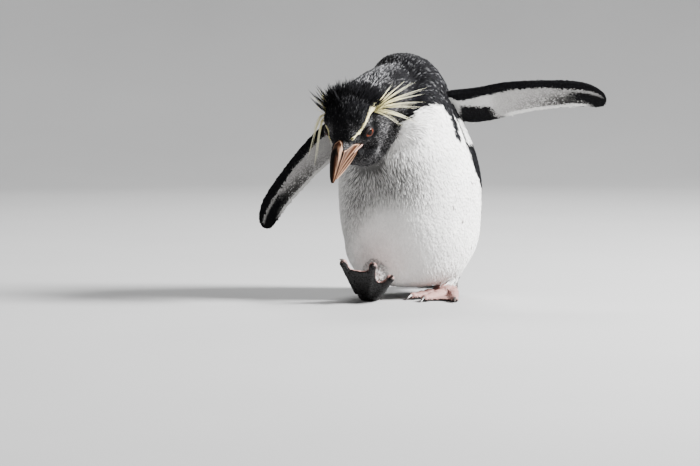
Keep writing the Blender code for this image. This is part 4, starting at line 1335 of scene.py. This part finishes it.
def upper_relief(points):
    """(height, colour) of the upper bill's horn plates, the grooves between them and their pale edges, with
    painted highlights and painted shade.
    """
    ahead, left, up = head_places(points).T
    ridge, edge = (read(BILL_SECTIONS, ahead, k) for k in (1, 2))
    share = (ahead - HORN_START) / HORN_LENGTH
    h = (up - edge) / np.maximum(ridge - edge, 0.002)
    split = np.interp(share, (0.30, 0.44, 0.58, 0.80, 1.0), (0.79, 0.76, 0.64, 0.48, 0.30))
    groove = line(h, split, 0.060) * ease(0.97, 0.85, share)
    crease = line(h, split + 0.30, 0.040) * ease(0.92, 0.75, share)
    slit = np.exp(-(((ahead - NOSTRIL_AHEAD) / 0.0034) ** 2) - ((h - split + 0.015) / 0.05) ** 2)
    rise = PLATE * line(h, split * 0.45, 0.19) + CULMEN * line(h, split + 0.17, 0.09)
    growth = GROWTH * np.sin(ahead * 5200 + h * 3) * ease(split, split + 0.1, h)
    height = rise + growth - UPPER_GROOVE * groove - UPPER_CREASE * crease - NOSTRIL * slit
    height = height - LIP * line(h, 0.0, 0.04)
    # Painted highlights: a pale line along the ridge, and a faint pale band on the side plate
    pale = 0.80 * line(h, 0.52 + 0.5 * split, 0.07) * ease(0.028, 0.034, ahead)
    pale = 0.14 * line(h, split * 0.55, 0.08) + pale
    # The plates' own pale edges
    pale = pale + 0.8 * line(h, 0.12, 0.028) + 0.5 * line(h, split - 0.10, 0.025)
    hem = line(feathered(points), -0.0011, 0.0007)
    tip = ease(0.80, 0.97, share)
    colour = mix(HORN, HORN_PALE, np.clip(pale + 0.9 * hem, 0, 1) * (1 - 0.6 * tip))
    # Painted shade: the grooves, the crease, the nostril slit and the mouth line are darkened
    dark = 1.2 * groove + 1.4 * slit + 0.95 * crease + 0.9 * line(h, 0.0, 0.05)
    # Painted shade: the culmen is darker on the bird's right, the side away from the key lamp
    far_side_shade = 0.95 * ease(0.0016, 0.0002, left) * ease(0.30, 0.50, h) * ease(0.028, 0.036, ahead)
    return height, mix(colour, HORN_SHADE, np.clip(dark + far_side_shade, 0, 1))


def lower_relief(points):
    """(height, colour) of the lower bill's horn, with one groove along its side, darkened as painted shade.
    """
    ahead, _, up = head_places(points).T
    edge, keel = (read(BILL_SECTIONS, ahead, k) for k in (2, 3))
    h = (edge - up) / np.maximum(edge - keel, 0.0016)
    centre = np.interp((ahead - HORN_START) / HORN_LENGTH, (0, 0.5, 0.9), (0.46, 0.52, 0.55))
    groove = line(h, centre, 0.07)
    height = LOWER_KEEL * line(h, centre + 0.26, 0.12) + LOWER_EDGE * line(h, centre - 0.25, 0.10)
    height = height - LOWER_GROOVE * groove
    pale = 0.5 * line(h, centre - 0.26, 0.05) + 0.9 * line(h, 0.70, 0.06)
    pale = pale + 0.2 * line(h, centre + 0.2, 0.05)
    colour = mix(HORN, HORN_PALE, np.clip(pale, 0, 1))
    # Painted shade: the groove and the mouth line are darkened
    return height, mix(colour, HORN_SHADE, np.clip(1.1 * groove + 0.9 * line(h, 0.02, 0.05), 0, 1))


def build_bill(node):
    """The horn of one half of the bill, cut with its relief where it stands clear of the face."""
    points, normals, triangles = bill_surface(node)
    height, colour = upper_relief(points) if node == "bill_upper" else lower_relief(points)
    height = height * ease(0.006, 0.010, head_places(points)[:, 0])
    return new_piece(node + "_horn", points + normals * height[:, None], triangles, colour)


# The bare edge round the corner of the mouth: (ahead, out, up, thickness)
GAPE = np.array([
    (0.0090, 0.0153, -0.0172, 0.0008),
    (0.0109, 0.0151, -0.0164, 0.0011),
    (0.0140, 0.0141, -0.0160, 0.0009),
    (0.0180, 0.0129, -0.0152, 0.0006),
    (0.0240, 0.0116, -0.0142, 0.0004),
])
GAPE_SKIN = np.array((0.46, 0.28, 0.23))


def gape_arrays():
    """The bare pale skin round the corners of the mouth."""
    rows, columns = 48, 12
    t = np.linspace(0, len(GAPE) - 1, rows)
    ahead, out, up, size = (np.interp(t, np.arange(len(GAPE)), GAPE[:, k])[:, None] for k in range(4))
    turn = np.linspace(0, 2 * math.pi, columns, endpoint=False)[None]
    size = size * np.minimum(1, np.minimum(t, t[::-1])[:, None] * 4 + 0.15)
    out, up = out + 0.8 * size * np.cos(turn), up + size * np.sin(turn)
    parts = []
    for _, sign in SIDES:
        place = np.stack(np.broadcast_arrays(ahead, sign * out, up), -1)
        points = np.array(BETWEEN_EYES) + place.reshape(-1, 3) @ HEAD_AXES
        faces = shell_faces(points, rows, columns, points.mean(0))
        parts.append((points, faces, np.broadcast_to(GAPE_SKIN, points.shape)))
    return parts


# Crest and crown plumes

# The pale stripe from the bill back over the eye, in the head's own axes. The right one mirrors it.
STRIPE = [
    (0.0184, 0.0110, 0.0006), (0.0154, 0.0150, 0.0018), (0.0108, 0.0195, 0.0023), (0.0055, 0.0220, 0.0045),
    (-0.0006, 0.0245, 0.0076), (-0.0081, 0.0275, 0.0103), (-0.0148, 0.0300, 0.0108),
    (-0.0216, 0.0320, 0.0097),
]
# Plumes that fan out of it: (start along the stripe, back, outward, up, droop, strands)
PLUMES = {
    "left": [
        (0.97, 0.0283, 0.0113, 0.0050, 0, 5),
        (0.98, 0.0316, 0.0191, 0.0025, 0, 8),
        (1.00, 0.0340, 0.0270, -0.0007, 0, 9),
        (1.00, 0.0357, 0.0370, -0.0088, 0.001, 7),
        (1.00, 0.0294, 0.0351, -0.0100, 0.001, 7),
        (0.98, 0.0231, 0.0372, -0.0139, 0.001, 7),
        (0.96, 0.0174, 0.0370, -0.0155, 0.001, 6),
        (0.93, 0.0065, 0.0345, -0.0174, 0.002, 8),
        (0.92, 0.0025, 0.0485, -0.0271, 0.001, 2),
        (0.92, -0.0017, 0.0254, -0.0168, 0.002, 6),
    ],
    "right": [
        (1.00, 0.0155, 0.0111, 0.0118, 0, 9),
        (0.97, 0.0153, 0.0072, 0.0089, 0, 8),
        (0.92, 0.0081, 0.0160, 0.0117, 0, 8),
        (0.80, 0.0031, 0.0119, 0.0076, 0, 8),
        (0.70, -0.0042, 0.0118, 0.0042, 0.020, 10),
        (0.62, -0.0034, 0.0094, 0.0034, 0.046, 12),
        (0.66, -0.0056, 0.0157, 0.0056, 0.040, 7),
        (0.62, 0.0028, -0.0060, -0.0028, 0.030, 5),
    ],
}
PLUME_REACH = {"left": 1.10, "right": 1.0}
PLUME_BREADTH = {"left": 1.05, "right": 1.45}
STRANDS_IN_STRIPE = 420
STRIPE_SHARE, STRIPE_STEP = 0.93, 0.06  # its feathers start on this share of it, and point this far along
STRAND_ROWS = 8
CREST = np.array((0.90, 0.80, 0.36))
CREST_PALE = np.array((0.96, 0.93, 0.70))
CREST_WIDTH, CROWN_WIDTH, SPIKE_WIDTH = 0.00042, 0.00055, 0.0006  # of the thinnest strands
CROWN_PLUMES = 900
CROWN_ARCH = 0.030  # the radius of the row of plumes across the head
SPIKES = 15  # bundles of black plumes that stand out beside the right crest
SPIKE_STRANDS = 7
SPIKE_TURNS = (10, 58)  # degrees from the top of the head towards its right
STRAND_FLATNESS = 0.6
STRAND_TOP = np.array((0.13, -0.22, 0.97))  # nearly upright, and along no strand
STRAND_SHARES = np.linspace(0, 1, STRAND_ROWS)[:, None]
STRAND_BOW = np.sin(math.pi * STRAND_SHARES)
UPRIGHT = np.array((0, 0, 1))


def curve_at(rows, t):
    """Points at shares t along a Catmull-Rom curve through the rows."""
    p = np.array(rows, float)
    p = np.vstack([2 * p[0] - p[1], p, 2 * p[-1] - p[-2]])
    t = np.clip(np.asarray(t, float), 0, 1) * (len(p) - 3)
    i = np.minimum(t.astype(int), len(p) - 4)
    u = (t - i)[:, None]
    a, b, c, d = p[i], p[i + 1], p[i + 2], p[i + 3]
    return 0.5 * (2 * b + (c - a) * u + (2 * a - 5 * b + 4 * c - d) * u**2 + (3 * b - a - 3 * c + d) * u**3)


def strands(name, skin, paths, widths, roots, tips):
    """Tapered three-sided hairs. Paths are (strand, row, 3), widths and colours one for each strand."""
    count, rows, _ = paths.shape
    way = unit(np.gradient(paths, axis=1))
    side = unit(np.cross(way, STRAND_TOP))
    over = np.cross(side, way)
    t = np.linspace(0, 1, rows)
    taper = (0.55 + 0.45 * np.minimum(1, t * 4)) * (1 - t**2.2) + 0.03
    size = widths[:, None] * taper[None] / 2
    rings = []
    for turn in (math.pi / 2, math.pi * 7 / 6, math.pi * 11 / 6):
        aside, above = size * math.cos(turn), size * STRAND_FLATNESS * math.sin(turn)
        rings.append(paths + side * aside[..., None] + over * above[..., None])
    points = np.stack(rings, 2).reshape(-1, 3)
    ends = [(0, 2, 1), (rows * 3 - 3, rows * 3 - 2, rows * 3 - 1)]
    faces = np.vstack([grid_faces(rows, 3, True), ends])
    faces = (faces[None] + (np.arange(count) * rows * 3)[:, None, None]).reshape(-1, 3)
    colour = mix(roots[:, None], tips[:, None], np.broadcast_to(ease(0.1, 0.9, t), (count, rows)))
    colour = np.repeat(colour, 3, axis=1).reshape(-1, 3)
    down, round_it = np.repeat(t, 3), np.tile(np.arange(3), rows)
    bake = skin.bake_places(paths[:, 0], np.stack([down - 0.5, round_it / 2 - 0.5], 1))
    barbs = np.tile(np.stack([down, round_it / 3], 1), (count, 1))
    return new_piece(name, points, faces, colour, {"OFBake": bake, "Barbs": barbs})


def snapped(skin, place, rise=0.0002):
    """A place in the head's axes, moved onto the skin and a little out of it."""
    found, normal, _, _ = skin.tree.find_nearest(on_head(*place))
    return np.array(found + normal * rise), np.array(normal)


def build_crest(which, sign, skin):
    """A stripe of short pale feathers that lie on the head, and the long plumes that fan out of it."""
    rng = np.random.default_rng(11 if sign > 0 else 12)
    paths, widths, roots, tips = [], [], [], []
    stripe = np.array([(a, sign * l, u) for a, l, u in STRIPE])
    for k in range(STRANDS_IN_STRIPE):
        t = (k + rng.random()) / STRANDS_IN_STRIPE
        place = t * STRIPE_SHARE
        start, ahead_of_it = curve_at(stripe, [place, min(1.0, place + STRIPE_STEP)])
        start = start + (0, 0, rng.normal(0, 0.00028 + 0.0008 * t))
        root, normal = snapped(skin, start)
        way = unit((ahead_of_it - start) @ HEAD_AXES)
        way = unit(way - normal * (way @ normal) * 0.7 + rng.normal(0, 0.05, 3))
        length = 0.0026 + 0.0085 * t + 0.003 * rng.random()
        found, out = skin.tree.find_nearest(Vector(root + way * length))[:2]
        end = np.array(found + out * (0.0005 + 0.0016 * t))
        paths.append(root + (end - root) * STRAND_SHARES + normal * 0.0006 * STRAND_BOW)
        widths.append(CREST_WIDTH + 0.00025 * rng.random())
        roots.append(CREST * 0.85)
        tips.append(mix(CREST, CREST_PALE, rng.random()))
    for start, back, out, rise, droop, count in PLUMES[which]:
        reach = np.array(-AHEAD * back + LEFT * (sign * out) + UP * rise)
        across = unit(np.cross(reach, np.array(UP)))
        for k in range(count):
            begin = curve_at(stripe, [start - 0.10 * rng.random()])[0]
            root, normal = snapped(skin, begin, 0.0006 + 0.0010 * rng.random())
            length = PLUME_REACH[which] * (0.70 + 0.38 * (k + 1) / count)
            aside = across * rng.normal(0, 0.0007) + normal * rng.normal(0, 0.0004)
            bow = UPRIGHT * (0.0014 + 0.06 * droop) * STRAND_BOW
            bend = aside * np.sin(math.pi * 0.72 * STRAND_SHARES)
            fall = UPRIGHT * (droop * length * STRAND_SHARES**2)
            paths.append(root + reach * length * STRAND_SHARES + bend + bow - fall)
            widths.append((CREST_WIDTH + 0.00020 * rng.random()) * PLUME_BREADTH[which])
            roots.append(CREST * 0.95)
            tips.append(CREST_PALE)
    return strands("plumes_" + which, skin, *map(np.array, (paths, widths, roots, tips)))


def build_crown(skin):
    """Longer black feathers that stand up along the back of the crown."""
    rng = np.random.default_rng(21)
    paths, widths, tips = [], [], []
    for _ in range(CROWN_PLUMES):
        turn = math.radians(rng.uniform(-78, 78))
        back = -0.022 - 0.016 * rng.random() + 0.010 * abs(math.sin(turn))
        place = (back, CROWN_ARCH * math.sin(turn), CROWN_ARCH * math.cos(turn) - 0.004)
        root, normal = snapped(skin, place)
        way = np.array(-AHEAD + LEFT * (0.55 * math.sin(turn)) + UP * 0.10)
        way = unit(way + rng.normal(0, 0.10, 3))
        edge = rng.random()
        length = 0.007 + 0.007 * edge + 0.004 * abs(math.sin(turn))
        lift = normal * (0.0022 + 0.0035 * edge) * STRAND_SHARES
        sag = -UPRIGHT * 0.002 * STRAND_SHARES**2
        paths.append(root + way * length * STRAND_SHARES + lift + sag)
        widths.append(CROWN_WIDTH + 0.0004 * rng.random())
        tips.append(BLACK * np.exp(rng.normal(0.3, 0.5)))
    for k in range(SPIKES):
        share = (k + 0.5 * rng.random()) / SPIKES
        turn = math.radians(SPIKE_TURNS[0] + (SPIKE_TURNS[1] - SPIKE_TURNS[0]) * share)
        back = -0.012 + 0.008 * share - 0.006 * rng.random()
        place = (back, -0.027 * math.sin(turn), 0.029 * math.cos(turn) - 0.001)
        root, normal = snapped(skin, place)
        out = -LEFT * math.sin(turn + 0.10) + UP * math.cos(turn + 0.10)
        reach = np.array(out - AHEAD * 0.45) * (0.013 + 0.011 * share) * (0.80 + 0.45 * rng.random())
        for _ in range(SPIKE_STRANDS):
            aside = rng.normal(0, 0.0009, 3)
            length = 0.78 + 0.27 * rng.random()
            along = (reach * length - aside * 0.9) * STRAND_SHARES
            paths.append(root + aside + along + normal * 0.002 * STRAND_BOW)
            widths.append(SPIKE_WIDTH + 0.0003 * rng.random())
            tips.append(BLACK * 1.2)
    tips = np.array(tips)
    return strands("crown_plumes", skin, np.array(paths), np.array(widths), tips * 0.6, tips)


# Tail

TAIL_FEATHERS = 14
TAIL_ROWS = 46
TAIL_SPREAD = math.radians(19)
TAIL_LENGTH = 0.092
TAIL_TIP_HEIGHT = 0.0022
TAIL_HALF_WIDTH = 0.0068
TAIL_THICKNESS = 0.0005
TAIL_BOW = 0.0075  # how far a feather arches up
TAIL_SHAFT_HEIGHT = 0.0009
TAIL_VANE = np.array((-1.0, -0.62, -0.14, 0.0, 0.14, 0.62, 1.0))  # places across a feather, in half widths
TAIL_BLACK = np.array((0.0060, 0.0055, 0.0060))
TAIL_SHAFT = np.array((0.020, 0.015, 0.013))


def tail_feather(k, root, rng):
    """(points, colours, UV places) of one stiff feather of the fan."""
    share = 2 * k / (TAIL_FEATHERS - 1) - 1
    yaw = share * TAIL_SPREAD
    length = TAIL_LENGTH * (1 - 0.20 * share * share)
    level = math.sqrt(length**2 - (root.z - TAIL_TIP_HEIGHT) ** 2)
    tip = Vector((root.x + level * math.sin(yaw), root.y + level * math.cos(yaw), TAIL_TIP_HEIGHT))
    across = Vector((math.cos(yaw), -math.sin(yaw), 0))
    over = across.cross(tip - root).normalized()
    over = over if over.z > 0 else -over
    rise = TAIL_BOW + 0.0012 * (k % 3) - 0.0020 * share * share
    reach = 1 - 0.05 * rng.random()
    points, colours, places = [], [], []
    for i in range(TAIL_ROWS):
        t = i / (TAIL_ROWS - 1)
        bend = Vector((share * 0.010 * (1 - t), 0, rise * math.sin(math.pi * t)))
        centre = root.lerp(tip, t * reach) + bend
        half = TAIL_HALF_WIDTH * min(1.0, 0.45 + 1.2 * t) * min(1.0, (1.02 - t) * 4.5) ** 0.6 + 0.0003
        notch = 1 - 0.18 * rng.random() * (rng.random() < 0.25)
        tone = 0.7 + 0.6 * rng.random() + 0.8 * ease(0.88, 1.0, t)
        for w in TAIL_VANE:
            aside = w * half * (notch if abs(w) == 1 else 1)
            shaft = TAIL_SHAFT_HEIGHT * (1 - 0.8 * t) * (w == 0) + 0.00015 * (abs(w) < 0.2)
            points.append(tuple(centre + across * aside + over * (shaft - 0.12 * half * w * w)))
            colours.append((TAIL_SHAFT if w == 0 else TAIL_BLACK) * tone)
            places.append(((k + 0.5 + 0.4 * w) / TAIL_FEATHERS, 0.02 + 0.96 * t))
    return points, colours, places


def build_tail():
    """Stiff feathers fanned from one root, each with a raised shaft and notched edges."""
    rng = np.random.default_rng(31)
    low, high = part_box("tail")
    root = Vector((middle("tail").x, low.y - 0.009, high.z - 0.004))
    made = [tail_feather(k, root, rng) for k in range(TAIL_FEATHERS)]
    faces = grid_faces(TAIL_ROWS, len(TAIL_VANE), False)
    faces = np.vstack([faces + k * TAIL_ROWS * len(TAIL_VANE) for k in range(TAIL_FEATHERS)])
    points, colours, places = (np.array([row for feather in made for row in feather[i]]) for i in range(3))
    barbs = places * (TAIL_FEATHERS * 2.0, 14.0)
    piece = new_piece("tail_feathers", points, faces, colours, {"OFBake": places, "Barbs": barbs[:, ::-1]})
    thick = piece.modifiers.new("Thickness", "SOLIDIFY")
    thick.thickness = TAIL_THICKNESS
    return piece


# The whole bird

COAT_SLOTS = {
    "coat_breast": "white_feathers", "coat_belly": "white_feathers", "coat_legs": "white_feathers",
    "foot_scales": "foot_skin",
}


def merged(*parts):
    """Several (points, triangles, colours) as one."""
    points, faces, colours, start = [], [], [], 0
    for p, f, c in parts:
        points.append(p)
        faces.append(f + start)
        colours.append(c)
        start += len(p)
    return np.vstack(points), np.vstack(faces), np.vstack(colours)


def main():
    skin = Skin()
    skin.unwrap()
    root, _ = skin.colours(skin.points, skin.normals, skin.kinds)
    lids = [lid_arrays(sign) for _, sign in SIDES]
    body = new_piece("penguin_skin", *merged((skin.points, skin.triangles, root), *lids, *gape_arrays()))
    wear(body, skin_material(), "white_feathers", *FLESH)
    coat = feather_material("coat", 0.72, 0.06)
    scales = feather_material("foot_scales", 0.50, 0.45)
    for name, piece in build_coat(skin).items():
        wear(piece, scales if name == "foot_scales" else coat, COAT_SLOTS.get(name, "black_feathers"))
    plume = feather_material("plume", 0.55, 0.22)
    eye, horn, claw = eye_material(), horn_material(), claw_material()
    for which, sign in SIDES:
        wear(build_eye(which, sign), eye, "eye", "eye_" + which)
        wear(build_crest(which, sign, skin), plume, "crest_feathers", "crest_" + which)
        for toe in ("inner", "middle", "outer"):
            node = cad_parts[f"claw_{which}_{toe}"]
            node.data.materials.clear()
            node.data.materials.append(claw)
    quill = feather_material("quill", 0.62, 0.07)
    wear(build_crown(skin), quill, "black_feathers")
    for node in ("bill_upper", "bill_lower"):
        wear(build_bill(node), horn, "bill_horn", node)
    wear(build_tail(), quill, "black_feathers", "tail")
    build_stage()


main()
